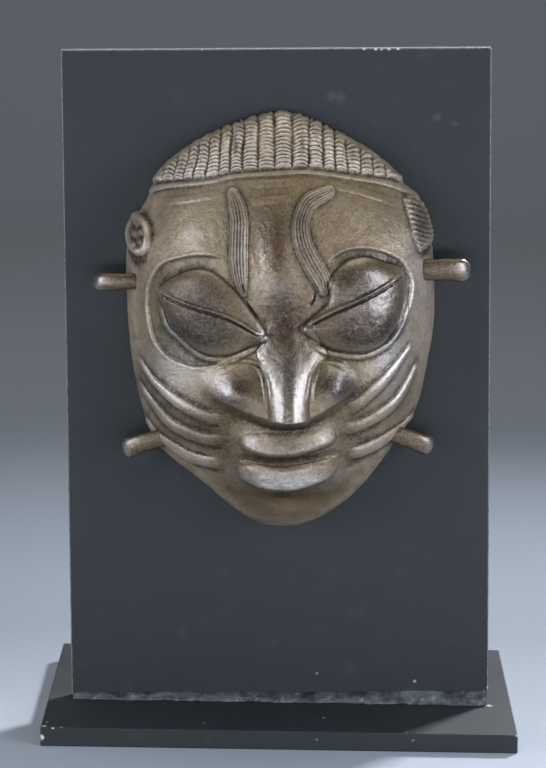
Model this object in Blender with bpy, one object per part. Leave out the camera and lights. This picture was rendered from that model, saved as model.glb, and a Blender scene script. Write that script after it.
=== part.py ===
"""Brass maskette on its display stand: a hollow cast face with four suspension loops,
fixed to an upright board that is glued to a rectangular foot plate.

Metres, +Z up. The origin is the middle of the foot plate's underside and the face looks along -Y.
The carving is laid out on the face's own plane in design units: one unit is one millimetre
at the real size, u runs to the viewer's right, v runs up, and (0, 0) is between the eyes.
"""
import math

import bmesh
import bpy
import numpy as np
from mathutils import Matrix, Vector

# Foot plate
BASE_WIDTH = 0.2135
BASE_DEPTH = 0.148
BASE_THICK = 0.0086
BASE_EDGE = 0.0005

# Upright board
BOARD_WIDTH = 0.192
BOARD_HEIGHT = 0.2975
BOARD_THICK = 0.006
BOARD_EDGE = 0.0004
BOARD_SETBACK = 0.050
BOARD_LEAN = math.radians(1.15)
BOARD_LIFT = 0.0010

# Adhesive bead around the board's foot
BEAD_REACH = 0.0034
BEAD_RISE = 0.0016
BEAD_LUMP = 0.28
BACK_BEAD_REACH = 0.0028
BACK_BEAD_RISE = 0.0024

# Chips at the corners of the board and the foot plate
CHIP_SIZE = 0.0030
BASE_CHIP_SIZE = 0.0042
CHIP_TURN = (0.3, 0.5, 0.2)

# Clearance between neighbouring pieces
FIT_GAP = 0.0003

# Cast face
FACE_WIDTH = 0.1392
FACE_HEIGHT = 0.1874
FACE_DEPTH = 0.048
FACE_UP = 0.1793
FACE_ACROSS = 0.0015
WALL = 0.0035
DOME_POWER = 2.6

# Form that stands out of the dome
NOSE_HEIGHT = 0.0135
NOSE_CENTRE = 3.6
NOSE_BRIDGE = 6.0
NOSE_TIP = -38.0
NOSTRIL_HEIGHT = 0.0070
NOSE_UNDERCUT = 5.5
NOSE_BLEND = 0.0012
NOSTRIL_BULB = 0.0015
MUZZLE_HEIGHT = 0.0034
JAW_SWELL = 0.0018
CHIN_HEIGHT = 0.0020
BROW_HEIGHT = 0.0032
LIP_HEIGHT = 0.0049
LIP_SHOULDER = 2.8
MOUTH_WRAP = 0.42
MOUTH_DEPTH = 0.0012

# Relief laid on the form
EYE_HEIGHT = 0.0046
EYE_SHOULDER = 11.0
SOCKET_DEPTH = 0.0009
LEDGE_DROP = 1.3
LEDGE_WIDTH = 11.0
LID_RIM_HEIGHT = 0.0009
SLIT_HEIGHT = 0.0008
SLIT_DEPTH = 0.0012
SLIT_DROP = 1.0
CREASE_DEPTH = 0.0012
BAR_HEIGHT = 0.0016
BAND_HEIGHT = 0.0015
CORD_HEIGHT = 0.0012
BROW_LINE_HEIGHT = 0.0004
HAIR_HEIGHT = 0.0020
BRAID_PITCH = 6.7
BRAID_CENTRE = 1.6
BRAID_CROWDING = 0.26
BRAID_FAN = 0.55
BRAID_STRAIGHT = 28.0
BRAID_ROUND = 2.6
TUFT_HEIGHT = 0.0022

# Half widths of the carved lines, in design units
LID_RIM_HALF = 1.5
SLIT_RIDGE_HALF = 1.1
SLIT_GROOVE_HALF = 0.8
CREASE_HALF = 0.9
BROW_LINE_HALF = 1.0
CORD_HALF = 1.3
MOUTH_LINE_HALF = 2.0

# Suspension loops
LOOP_THICK = 0.0038
LOOP_BACK = 0.0065
LOOP_SPAN = 0.0130
LOOP_DROP = 0.0022
LOOP_SWELL = 0.30

# Fineness of the casting's mesh
SPOKES = 240
RINGS = 90
BACK_RINGS = 10
CASTING_FACES = 0.135

# The face's edge, clockwise from the crown
OUTLINE = [
    (-3.0, 88.6), (14.0, 85.2), (37.0, 72.6), (53.0, 59.4), (64.6, 46.0), (68.2, 30.0),
    (69.2, 0.0), (66.5, -21.0), (62.5, -40.0), (55.5, -54.0), (37.0, -79.0), (20.0, -93.0),
    (2.0, -98.8), (-16.0, -94.0), (-38.0, -76.0), (-56.0, -60.5), (-63.0, -43.0),
    (-67.8, -18.0), (-69.6, 15.0), (-68.2, 34.0), (-61.2, 48.8), (-50.6, 65.2), (-29.6, 79.4),
]
DESIGN_WIDTH = 139.2
DESIGN_HEIGHT = 187.4

HAIRLINE = [
    (-66.0, 49.6), (-52.0, 58.4), (-31.0, 62.1), (-18.6, 65.0), (2.0, 66.6), (14.0, 66.4),
    (32.0, 63.3), (49.0, 58.9), (68.0, 48.6),
]
BROW_LINES = [
    [(-58, 51.3), (-31, 56.7), (-23.5, 57.4)],
    [(-17, 61.6), (8.4, 62.8)],
    [(10.8, 61.9), (33.4, 58.5), (60, 48.0)],
    [(-13.3, 54.3), (8.4, 56.5)],
]

# Striated bands on the forehead: middle line and half width
LEFT_BAND = [
    (-20.4, 57.6, 2.8), (-18.7, 52.9, 3.8), (-17.7, 47.0, 3.9), (-17.9, 38.5, 4.0),
    (-18.1, 30.0, 4.1), (-17.3, 22.0, 3.3), (-15.8, 14.8, 1.2),
]
RIGHT_BAND = [
    (21.5, 58.2, 2.8), (13.1, 54.3, 3.9), (9.8, 48.4, 3.8), (9.1, 42.5, 3.9),
    (10.8, 34.8, 4.3), (14.6, 27.2, 4.5), (18.5, 20.3, 4.1), (19.2, 15.5, 2.0),
]

# Eyes: the socket's edge with the eye on its left hand, the lids' almond edge, the lower rim and the slit
LEFT_SOCKET = [
    (-21.5, 30.0), (-31.0, 31.9), (-42.0, 30.8), (-53.3, 26.0), (-59.6, 13.0), (-58.2, -4.5),
    (-51.2, -14.4), (-38.0, -18.6), (-24.4, -16.0), (-12.0, -13.8),
]
RIGHT_SOCKET = [
    (45.0, -11.5), (53.0, -2.3), (58.0, 8.0), (58.8, 18.0), (53.2, 27.9), (41.4, 33.7),
    (29.3, 33.8), (19.0, 28.0),
]
LEFT_LIDS = [
    (-53.4, 15.4), (-44.4, 22.9), (-34.0, 25.6), (-26.2, 22.3), (-15.8, 12.2), (-5.2, -3.6),
    (-14.2, -8.6), (-24.3, -12.5), (-34.5, -11.2), (-44.7, -3.3), (-51.3, 7.6),
]
RIGHT_LIDS = [
    (21.4, 20.7), (28.7, 28.5), (38.0, 30.4), (46.5, 27.4), (54.8, 22.6), (53.9, 6.0),
    (48.0, -5.8), (37.3, -11.6), (25.1, -10.4), (14.4, -5.4), (9.6, 0.6), (20.5, 11.0),
]
LEFT_LOWER_RIM = [
    (-54.6, 13.0), (-50.4, 0.0), (-45.0, -5.2), (-35.0, -13.0), (-24.3, -14.3),
    (-13.4, -10.2), (-6.0, -5.4),
]
RIGHT_LOWER_RIM = [
    (11.2, -2.8), (18.2, -9.8), (26.0, -12.3), (37.6, -13.3), (48.8, -7.6),
    (55.0, 4.6), (55.6, 17.0),
]
LEFT_SLIT = [(-53.2, 16.0), (-44.5, 12.4), (-36.2, 9.6), (-25.3, 6.6), (-17.0, 2.8), (-7.6, -3.0)]
RIGHT_SLIT = [(11.0, 1.4), (24.1, 8.1), (36.3, 13.5), (47.0, 19.2), (54.2, 23.1)]

# Dark creases that run from the bands towards the bridge of the nose
CREASES = [
    [(-16.3, 19.8), (-15.0, 14.4)],
    [(-15.3, 12.8), (-13.1, 8.9), (-9.0, 3.6)],
    [(15.6, 16.6), (15.0, 12.4), (12.4, 9.4)],
]

# Nose: lower edge from wing tip to wing tip, upper edges of the wings, and the ridge's half width
NOSE_LOWER = [
    (-37.0, -25.6), (-27.0, -31.6), (-19.6, -35.0), (-9.6, -38.6), (-3.0, -40.2), (10.0, -40.2),
    (16.0, -38.0), (22.4, -34.5), (28.6, -31.0), (34.0, -26.0),
]
WING_TOP = [
    (-37.0, -20.6), (-28.1, -16.8), (-17.7, -14.6), (-9.0, -16.2), (3.4, -20.0), (12.6, -15.8),
    (20.1, -13.4), (28.0, -15.8), (34.0, -22.0),
]
RIDGE_HALF = [
    (-46.0, 7.6), (-38.0, 7.6), (-30.0, 7.6), (-22.0, 8.2), (-15.0, 10.6),
    (-11.0, 11.6), (-6.0, 9.4), (0.0, 7.2), (8.0, 6.0),
]

# The ridge across, in half widths: flat strip, sloping facet, steep flank
RIDGE_SECTION = [(0.0, 0.985), (0.38, 0.985), (1.0, 0.70), (1.4, 0.30), (1.9, 0.0), (9.0, 0.0)]
WING_FADE = (24.0, 18.0)
NOSTRIL_BULBS = [((-21.5, -29.0), (8.0, 6.0)), ((26.0, -27.2), (6.5, 5.5))]

# Mouth: each lip's edge, the line between the lips and the raised field around them
UPPER_LIP = [
    (-18.6, -50.6), (-14.5, -47.2), (2.0, -46.0), (18.5, -45.2), (24.2, -48.0), (23.8, -52.0),
    (15.5, -55.8), (2.0, -58.2), (-8.0, -57.8), (-16.8, -55.0),
]
LOWER_LIP = [
    (-17.8, -63.6), (-9.0, -62.4), (2.0, -62.8), (12.0, -62.2), (23.4, -60.4), (25.2, -64.6),
    (21.0, -70.4), (10.0, -74.2), (1.2, -75.4), (-8.0, -74.6), (-16.4, -71.6), (-19.4, -67.0),
]
MOUTH_LINE = [(-20.0, -58.8), (2.0, -60.6), (26.0, -56.8)]
LIP_REACH = 13.0
UPPER_LIP_TILT = 1.0
LOWER_LIP_TILT = 0.9
LOWER_LIP_SHARE = 1.25
MUZZLE_MIDDLE = (2.7, -60.0)
MUZZLE_REACH = (24.6, 19.0)
MUZZLE_EDGE = 1.22
MUZZLE_SOFTNESS = 0.56

# Soft swellings of the jaw, the chin and the pillar of the forehead: height, middle and radii
SWELLS = [
    (JAW_SWELL, (2.0, -60.0), (34.0, 30.0)),
    (CHIN_HEIGHT, (2.0, -86.0), (15.0, 9.0)),
    (BROW_HEIGHT, (-0.5, 24.0), (9.5, 26.0)),
]

# Three raised bars on each cheek: middle line, running from the edge to the mouth
CHEEK_BARS = [
    [(58.6, -9.6), (48.4, -22.3), (38.1, -31.9), (28.8, -39.1)],
    [(61.5, -19.0), (53.0, -34.0), (44.9, -40.8), (35.9, -45.0), (26.8, -47.6)],
    [(60.0, -44.6), (52.9, -50.4), (42.4, -56.4), (29.0, -59.8)],
    [(-64.2, -16.4), (-57.4, -26.0), (-47.9, -33.4), (-41.5, -37.0), (-31.9, -40.8), (-24.5, -43.0)],
    [(-64.4, -28.0), (-58.6, -36.2), (-49.8, -45.2), (-41.8, -49.2), (-33.0, -51.6), (-24.0, -52.6)],
    [(-61.6, -45.4), (-55.5, -52.9), (-42.2, -61.2), (-33.1, -63.3), (-25.7, -63.9)],
]
BAR_HALF_WIDTH = 3.0
BAR_TAPER = 0.62

# Temple tufts: middle, half width and half height
LEFT_TUFT = (-62.5, 37.0, 5.6, 8.6)
RIGHT_TUFT = (63.0, 41.5, 6.4, 13.0)

# Suspension loops: where each leaves the edge, its heading, its reach and its height
LOOPS = [
    ("loop_upper_left", (-69.6, 16.6), 180.0, 0.0122, 0.0080),
    ("loop_upper_right", (68.8, 21.4), 0.0, 0.0140, 0.0096),
    ("loop_lower_left", (-58.6, -55.8), 196.0, 0.0122, 0.0082),
    ("loop_lower_right", (55.4, -54.6), 340.0, 0.0124, 0.0084),
]

UNIT_U = FACE_WIDTH / DESIGN_WIDTH
UNIT_V = FACE_HEIGHT / DESIGN_HEIGHT
BOARD_FACE_Y = BOARD_SETBACK - BASE_DEPTH / 2
BOARD_CORNER = Vector((-BOARD_WIDTH / 2, BOARD_FACE_Y, BASE_THICK + BOARD_LIFT))
BOARD_FRAME = Matrix.Translation(BOARD_CORNER) @ Matrix.Rotation(-BOARD_LEAN, 4, "Y")


def clear_scene():
    """Removes every object that the file opened with."""
    for item in list(bpy.data.objects):
        bpy.data.objects.remove(item, do_unlink=True)


def make_material(name, colour, roughness, metallic):
    """A plain principled material."""
    material = bpy.data.materials.new(name)
    material.use_nodes = True
    shader = material.node_tree.nodes["Principled BSDF"]
    shader.inputs["Base Color"].default_value = (*colour, 1.0)
    shader.inputs["Roughness"].default_value = roughness
    shader.inputs["Metallic"].default_value = metallic
    return material


def add_object(name, mesh, material):
    """Links a mesh to the scene under a name and gives it one material."""
    item = bpy.data.objects.new(name, mesh)
    mesh.materials.append(material)
    bpy.context.scene.collection.objects.link(item)
    return item


def box_mesh(name, low, high):
    """A closed box between two corners."""
    shape = bmesh.new()
    bmesh.ops.create_cube(shape, size=1.0)
    for vert in shape.verts:
        vert.co = Vector(low[k] + (vert.co[k] + 0.5) * (high[k] - low[k]) for k in range(3))
    mesh = bpy.data.meshes.new(name)
    shape.to_mesh(mesh)
    shape.free()
    return mesh


def add_bevel(item, width):
    """A narrow two-step bevel on every edge."""
    bevel = item.modifiers.new("Edges", "BEVEL")
    bevel.width = width
    bevel.segments = 2
    bevel.limit_method = "ANGLE"


def add_cut(item, cutter):
    """Takes a hidden cutter away from an object."""
    cutter.hide_render = True
    cutter.display_type = "WIRE"
    cut = item.modifiers.new("Cut", "BOOLEAN")
    cut.operation = "DIFFERENCE"
    cut.object = cutter


def make_chip(item, corner, size):
    """Breaks a corner off with a small lump of irregular flats."""
    shape = bmesh.new()
    bmesh.ops.create_icosphere(shape, subdivisions=1, radius=size)
    bmesh.ops.scale(shape, vec=(1.0, 1.4, 0.8), verts=shape.verts)
    mesh = bpy.data.meshes.new(f"{item.name}_chip")
    shape.to_mesh(mesh)
    shape.free()
    cutter = bpy.data.objects.new(f"{item.name}_chip", mesh)
    cutter.location = corner
    cutter.rotation_euler = CHIP_TURN
    bpy.context.scene.collection.objects.link(cutter)
    add_cut(item, cutter)


def make_base(material):
    """The foot plate, with its front left corner worn."""
    half = Vector((BASE_WIDTH / 2, BASE_DEPTH / 2, 0.0))
    mesh = box_mesh("base", (-half.x, -half.y, 0.0), (half.x, half.y, BASE_THICK))
    item = add_object("base", mesh, material)
    add_bevel(item, BASE_EDGE)
    worn = Vector((-half.x - BASE_CHIP_SIZE * 0.45, -half.y - BASE_CHIP_SIZE * 0.5, BASE_THICK * 1.02))
    make_chip(item, worn, BASE_CHIP_SIZE)
    return item


def make_backboard(material):
    """The upright board, leaning a little to the left, with its lower right corner chipped."""
    mesh = box_mesh("backboard", (0.0, 0.0, 0.0), (BOARD_WIDTH, BOARD_THICK, BOARD_HEIGHT))
    item = add_object("backboard", mesh, material)
    item.matrix_world = BOARD_FRAME
    add_bevel(item, BOARD_EDGE)
    corner = BOARD_FRAME @ Vector((BOARD_WIDTH + CHIP_SIZE * 0.35, -CHIP_SIZE * 0.35, -CHIP_SIZE * 0.3))
    make_chip(item, corner, CHIP_SIZE)
    return item


def foot_height(x):
    """Height of the leaning board's foot above the ground at x."""
    along = x - BOARD_CORNER.x
    return BOARD_CORNER.z + along * math.tan(BOARD_LEAN)


def lumpiness(x):
    """How much fuller or thinner the hand-run bead is at x, about 1."""
    run = x / BOARD_WIDTH
    wave = math.sin(31.0 * run + 0.6) + 0.7 * math.sin(57.0 * run + 2.1) + 0.5 * math.sin(97.0 * run)
    return 1.0 + BEAD_LUMP * wave / 2.2


def bead_section(x):
    """Section of the adhesive across the board's foot: front fillet, thin bed and back fillet."""
    bed = BASE_THICK + FIT_GAP
    under = foot_height(x) - FIT_GAP
    front = BOARD_FACE_Y - FIT_GAP
    back = BOARD_FACE_Y + BOARD_THICK + FIT_GAP
    reach = BEAD_REACH * lumpiness(x)
    top = foot_height(x) + BEAD_RISE * lumpiness(x + 0.02)
    back_top = foot_height(x) + BACK_BEAD_RISE
    points = [(front - reach, bed)]
    for step in (0.3, 0.6, 0.85):
        angle = step * math.pi / 2
        bulge = 0.5 * (math.sin(angle) + step)
        points.append((front - reach * math.cos(angle), bed + (top - bed) * bulge))
    points += [(front, top), (front, under), (back, under), (back, back_top)]
    points += [(back + BACK_BEAD_REACH * 0.55, bed + (back_top - bed) * 0.6), (back + BACK_BEAD_REACH, bed)]
    return points


def make_glue(material):
    """The adhesive as one loft along the board's foot."""
    stations = 44
    inset = BOARD_WIDTH * 0.004
    shape = bmesh.new()
    loops = []
    for step in range(stations):
        share = step / (stations - 1)
        x = -BOARD_WIDTH / 2 + inset + (BOARD_WIDTH - 2 * inset) * share
        loops.append([shape.verts.new((x, y, z)) for y, z in bead_section(x)])
    count = len(loops[0])
    for near, far in zip(loops, loops[1:]):
        for k in range(count):
            shape.faces.new((near[k], near[(k + 1) % count], far[(k + 1) % count], far[k]))
    shape.faces.new(loops[0][::-1])
    shape.faces.new(loops[-1])
    bmesh.ops.recalc_face_normals(shape, faces=shape.faces)
    bmesh.ops.triangulate(shape, faces=shape.faces)
    mesh = bpy.data.meshes.new("glue")
    shape.to_mesh(mesh)
    shape.free()
    mesh.shade_smooth()
    mesh.set_sharp_from_angle(angle=math.radians(50))
    return add_object("glue", mesh, material)


def ease(x):
    """Smooth step from 0 to 1."""
    x = np.clip(x, 0.0, 1.0)
    return x * x * (3.0 - 2.0 * x)


def shoulder(x):
    """Quarter round from 0 to 1: steep at its foot, level at its top."""
    x = np.clip(x, 0.0, 1.0)
    return np.sqrt(x * (2.0 - x))


def smooth_line(points, closed=False, steps=8):
    """A curve through all the points, read off as a fine polyline."""
    knots = np.array(points, float)
    if closed:
        knots = np.vstack([knots[-1:], knots, knots[:2]])
    else:
        knots = np.vstack([2 * knots[:1] - knots[1:2], knots, 2 * knots[-1:] - knots[-2:-1]])
    before, start, end, after = knots[:-3], knots[1:-2], knots[2:-1], knots[3:]
    t = (np.arange(steps) / steps)[None, :, None]
    before, start, end, after = (k[:, None, :] for k in (before, start, end, after))
    bend = 2 * start + (end - before) * t + (2 * before - 5 * start + 4 * end - after) * t**2
    curve = 0.5 * (bend + (3 * start - before - 3 * end + after) * t**3)
    curve = curve.reshape(-1, knots.shape[1])
    return curve if closed else np.vstack([curve, knots[-2:-1]])


def level_of(points, u):
    """Height of a left-to-right curve at each u."""
    line = smooth_line(points)
    return np.interp(u, line[:, 0], line[:, 1])


def near_line(u, v, line, margin):
    """Distance to a polyline, share of its length, and side, for the points within a margin."""
    low = line[:, :2].min(axis=0) - margin
    high = line[:, :2].max(axis=0) + margin
    picked = np.flatnonzero((u > low[0]) & (u < high[0]) & (v > low[1]) & (v < high[1]))
    here = np.column_stack([u[picked], v[picked]])
    start = line[:-1, :2]
    run = line[1:, :2] - start
    length = np.hypot(run[:, 0], run[:, 1])
    offset = here[:, None, :] - start[None]
    share = np.clip((offset * run).sum(-1) / length**2, 0.0, 1.0)
    gap = offset - share[..., None] * run
    nearest = np.argmin((gap**2).sum(-1), axis=1)
    row = np.arange(len(here))
    distance = np.hypot(gap[row, nearest, 0], gap[row, nearest, 1])
    travelled = (np.concatenate([[0.0], np.cumsum(length)])[nearest] + share[row, nearest] * length[nearest])
    side = np.sign(run[nearest, 0] * offset[row, nearest, 1] - run[nearest, 1] * offset[row, nearest, 0])
    return picked, distance, travelled / length.sum(), side


def stroke(u, v, points, half_width, height, fade=0.12):
    """Relief of a rounded roll along a curve; a negative height cuts a groove."""
    relief = np.zeros_like(u)
    line = smooth_line(points)
    picked, distance, share, _ = near_line(u, v, line, half_width * 1.1)
    body = shoulder(1.0 - distance / half_width)
    ends = ease(share / fade) * ease((1.0 - share) / fade)
    relief[picked] = height * body * ends
    return relief


def ledge(u, v, points, depth):
    """Relief of a ledge along a curve: it drops on the curve's left hand and rises again slowly."""
    relief = np.zeros_like(u)
    line = smooth_line(points)
    picked, distance, share, side = near_line(u, v, line, LEDGE_WIDTH)
    drop = ease(distance / LEDGE_DROP) * ease((LEDGE_WIDTH - distance) / (LEDGE_WIDTH - LEDGE_DROP))
    ends = ease(share / 0.1) * ease((1.0 - share) / 0.1)
    relief[picked] = np.where(side > 0.0, -depth * drop * ends, 0.0)
    return relief


def bar(u, v, points):
    """Relief of a raised bar that widens from a pointed start towards its rounded end."""
    relief = np.zeros_like(u)
    picked, distance, share, _ = near_line(u, v, smooth_line(points), BAR_HALF_WIDTH * 1.1)
    grown = 1.0 - BAR_TAPER * (1.0 - ease(share / 0.66))
    body = shoulder(1.0 - distance / (BAR_HALF_WIDTH * grown)) ** 1.25
    ends = ease(share / 0.08) * ease((1.0 - share) / 0.2)
    relief[picked] = BAR_HEIGHT * (0.45 + 0.55 * grown) * body * ends
    return relief


def band(u, v, points, height):
    """Relief of a flat band whose half width is each point's third value."""
    relief = np.zeros_like(u)
    line = smooth_line(points)
    picked, distance, share, _ = near_line(u, v, line, line[:, 2].max() * 1.1)
    half = np.interp(share, np.linspace(0, 1, len(line)), line[:, 2])
    relief[picked] = height * shoulder((1.0 - distance / half) / 0.6)
    return relief


def inside(u, v, points):
    """Distance inside a closed curve, in design units, and 0 outside."""
    ring = smooth_line(points, closed=True)
    line = np.vstack([ring, ring[:1]])
    depth = np.zeros_like(u)
    picked, distance, _, _ = near_line(u, v, line, 0.5)
    x, y = u[picked][:, None], v[picked][:, None]
    x0, y0, x1, y1 = line[:-1, 0], line[:-1, 1], line[1:, 0], line[1:, 1]
    rise = np.where(y1 == y0, 1e-9, y1 - y0)
    crossed = ((y0 > y) != (y1 > y)) & (x < x0 + (y - y0) * (x1 - x0) / rise)
    depth[picked] = np.where(crossed.sum(axis=1) % 2 == 1, distance, 0.0)
    return depth


def mound(u, v, middle, radii):
    """A smooth mound, 1 at its middle."""
    return np.exp(-((u - middle[0]) / radii[0]) ** 2 - ((v - middle[1]) / radii[1]) ** 2)


def edge_radius(angle):
    """Distance from the middle of the face to its edge at each angle."""
    ring = smooth_line(OUTLINE, closed=True)
    turn = np.arctan2(ring[:, 1], ring[:, 0])
    order = np.argsort(turn)
    return np.interp(angle, turn[order], np.hypot(ring[:, 0], ring[:, 1])[order], period=2 * math.pi)


def dome(u, v):
    """Depth of the plain dome: a superellipse in the share of the way to the edge."""
    share = np.hypot(u, v) / edge_radius(np.arctan2(v, u))
    return FACE_DEPTH * np.sqrt(np.clip(1.0 - share**DOME_POWER, 0.0, 1.0))


def nose(u, v):
    """Height of the ridge and wings of the nose, cut back below their lower edge."""
    low = level_of(NOSE_LOWER, u)
    top = level_of(WING_TOP, u)
    along = np.clip((NOSE_BRIDGE - v) / (NOSE_BRIDGE - NOSE_TIP), 0.0, 1.0)
    across = np.abs(u - NOSE_CENTRE) / level_of(RIDGE_HALF, v)
    ridge = NOSE_HEIGHT * along * level_of(RIDGE_SECTION, across)
    down = np.clip((top - v) / (top - low), 0.0, 1.0)
    reach = np.clip((u - WING_TOP[0][0]) / WING_FADE[0], 0.0, 1.0)
    reach *= np.clip((WING_TOP[-1][0] - u) / WING_FADE[1], 0.0, 1.0)
    reach = np.sin(0.5 * math.pi * reach) ** 1.2
    wing = NOSTRIL_HEIGHT * reach * (0.16 * ease(down / 0.08) + 0.84 * np.sin(0.5 * math.pi * down**1.2))
    for middle, radii in NOSTRIL_BULBS:
        wing += NOSTRIL_BULB * mound(u, v, middle, radii)
    whole = 0.5 * (ridge + wing + np.hypot(ridge - wing, NOSE_BLEND))
    under = np.clip(1.0 - (low - v) / NOSE_UNDERCUT, 0.0, 1.0)
    return np.maximum(whole - 0.5 * NOSE_BLEND, 0.0) * under**1.6


def wrapped(u):
    """How the mouth falls away to both sides, 1 at its middle."""
    return 1.0 - MOUTH_WRAP * ((u - MUZZLE_MIDDLE[0]) / MUZZLE_REACH[0]) ** 2


def lip(u, v, edge, tilt):
    """Height of one full lip: a rounded slab that swells towards its lower edge."""
    low = min(point[1] for point in edge)
    swell = 1.0 - tilt * np.clip((v - low) / LIP_REACH, 0.0, 1.0)
    return LIP_HEIGHT * shoulder(inside(u, v, edge) / LIP_SHOULDER) * swell * wrapped(u)


def lips(u, v):
    """Height of the two lips and of the dark gap between them."""
    relief = lip(u, v, UPPER_LIP, UPPER_LIP_TILT) + LOWER_LIP_SHARE * lip(u, v, LOWER_LIP, LOWER_LIP_TILT)
    return relief + stroke(u, v, MOUTH_LINE, MOUTH_LINE_HALF, -MOUTH_DEPTH)


def muzzle(u, v):
    """Height of the squarish raised field that carries the mouth."""
    across = np.abs((u - MUZZLE_MIDDLE[0]) / MUZZLE_REACH[0])
    up = np.abs((v - MUZZLE_MIDDLE[1]) / MUZZLE_REACH[1])
    reach = (across**3 + up**3) ** (1.0 / 3.0)
    return MUZZLE_HEIGHT * ease((MUZZLE_EDGE - reach) / MUZZLE_SOFTNESS) * wrapped(u)


def form_depth(u, v):
    """Depth of the face's large forms in front of the board."""
    depth = dome(u, v)
    swell = muzzle(u, v)
    for height, middle, radii in SWELLS:
        swell += height * mound(u, v, middle, radii)
    fade = ease(depth / (0.35 * FACE_DEPTH))
    return depth + fade * (swell + nose(u, v) + lips(u, v))


def eye(u, v, socket, lids, rim, slit):
    """Relief of one eye: sunken socket, two bulging lids, lower rim and slit."""
    relief = ledge(u, v, socket, SOCKET_DEPTH)
    relief += EYE_HEIGHT * shoulder(inside(u, v, lids) / EYE_SHOULDER)
    relief += stroke(u, v, rim, LID_RIM_HALF, LID_RIM_HEIGHT, fade=0.15)
    relief += stroke(u, v, slit, SLIT_RIDGE_HALF, SLIT_HEIGHT, fade=0.06)
    under = [(across, up - SLIT_DROP) for across, up in slit]
    return relief + stroke(u, v, under, SLIT_GROOVE_HALF, -SLIT_DEPTH, fade=0.1)


def braids(u, v):
    """Relief of the vertical braids above the hairline, fanning out at the sides."""
    above = v - level_of(HAIRLINE, u)
    crowded = np.maximum(np.abs(u - BRAID_CENTRE) - BRAID_STRAIGHT, 0.0)
    fan = np.sign(u) * BRAID_FAN * crowded / 25.0 * np.maximum(above, 0.0)
    spread = u - BRAID_CENTRE + fan
    spread += np.sign(spread) * BRAID_CROWDING * np.maximum(np.abs(spread) - BRAID_STRAIGHT, 0.0)
    phase = spread / BRAID_PITCH
    across = 2.0 * np.abs(phase - np.round(phase))
    column = np.sqrt(np.clip(1.0 - across**BRAID_ROUND, 0.0, 1.0))
    to_rim = 1.0 - np.hypot(u, v) / edge_radius(np.arctan2(v, u))
    sides = ease((np.abs(u) - 22.0) / 10.0)
    carved = 0.7 * (1.0 - sides + sides * ease(to_rim / 0.03))
    return HAIR_HEIGHT * ease((above - 1.0) / 1.4) * (1.0 - carved + carved * column)


def tuft(u, v, oval):
    """Relief of a temple tuft: a low oval boss."""
    middle_u, middle_v, half_u, half_v = oval
    reach = np.hypot((u - middle_u) / half_u, (v - middle_v) / half_v)
    return TUFT_HEIGHT * shoulder((1.0 - reach) / 0.6)


def relief_height(u, v):
    """Height of all the carving, along the surface's own normal."""
    relief = eye(u, v, LEFT_SOCKET, LEFT_LIDS, LEFT_LOWER_RIM, LEFT_SLIT)
    relief += eye(u, v, RIGHT_SOCKET, RIGHT_LIDS, RIGHT_LOWER_RIM, RIGHT_SLIT)
    for crease in CREASES:
        relief += stroke(u, v, crease, CREASE_HALF, -CREASE_DEPTH)
    for middle_line in CHEEK_BARS:
        relief += bar(u, v, middle_line)
    for line in BROW_LINES:
        relief += stroke(u, v, line, BROW_LINE_HALF, BROW_LINE_HEIGHT, fade=0.2)
    relief += band(u, v, LEFT_BAND, BAND_HEIGHT)
    relief += band(u, v, RIGHT_BAND, BAND_HEIGHT)
    relief += stroke(u, v, HAIRLINE, CORD_HALF, CORD_HEIGHT, fade=0.02)
    relief += braids(u, v)
    relief += tuft(u, v, LEFT_TUFT)
    relief += tuft(u, v, RIGHT_TUFT)
    return relief


def ring_shares(count):
    """Shares of the way to the edge at which the rings lie evenly along the dome."""
    turn = np.linspace(0.0, math.pi / 2, 400)
    share = np.sin(turn) ** (2.0 / DOME_POWER)
    run = np.hypot(np.diff(share) * 0.5 * FACE_HEIGHT, np.diff(FACE_DEPTH * np.cos(turn)))
    length = np.concatenate([[0.0], np.cumsum(run)])
    return np.interp(np.linspace(0.0, length[-1], count + 1), length, share)[1:]


def face_grid(rings):
    """Design coordinates of a fan of spokes crossed by rings."""
    angle = np.linspace(0.0, 2.0 * math.pi, SPOKES, endpoint=False)
    radius = edge_radius(angle)
    share = ring_shares(rings)
    return share[:, None] * radius * np.cos(angle), share[:, None] * radius * np.sin(angle)


def surface_normals(points):
    """Outward normals of a grid of rings and closed spokes."""
    along = np.gradient(points, axis=0)
    around = np.roll(points, -1, axis=1) - np.roll(points, 1, axis=1)
    normal = np.cross(along, around)
    normal /= np.linalg.norm(normal, axis=-1, keepdims=True)
    return normal * np.where(normal[..., 1:2] > 0.0, -1.0, 1.0)


def place(u, v, depth):
    """Face points in the board's own frame, which starts at its lower left front corner."""
    x = BOARD_WIDTH / 2 + FACE_ACROSS + u * UNIT_U
    return np.stack([x, -FIT_GAP - depth, FACE_UP + v * UNIT_V], axis=-1)


def rim_normals(points, normals):
    """Lays the last ring's normals into the board's plane, so that the rim stays flat."""
    normals[-1, :, 1] = 0.0
    normals[-1] /= np.linalg.norm(normals[-1], axis=-1, keepdims=True)
    return normals


def front_points():
    """The carved front as rings of points."""
    u, v = face_grid(RINGS)
    flat_u, flat_v = u.ravel(), v.ravel()
    depth = form_depth(flat_u, flat_v).reshape(u.shape)
    depth[-1] = 0.0
    points = place(u, v, depth)
    normals = rim_normals(points, surface_normals(points))
    relief = relief_height(flat_u, flat_v).reshape(u.shape)
    return points + normals * relief[..., None]


def back_points():
    """The plain inside as rings of points, one wall behind the front."""
    u, v = face_grid(BACK_RINGS)
    depth = dome(u, v) + 0.8 * NOSE_HEIGHT * mound(u, v, (NOSE_CENTRE, -34.0), (14.0, 14.0))
    depth[-1] = 0.0
    points = place(u, v, depth)
    normals = rim_normals(points, surface_normals(points))
    return points - normals * WALL


def middle_point(ring):
    """The point that closes the innermost ring."""
    return ring.mean(axis=0)


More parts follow.
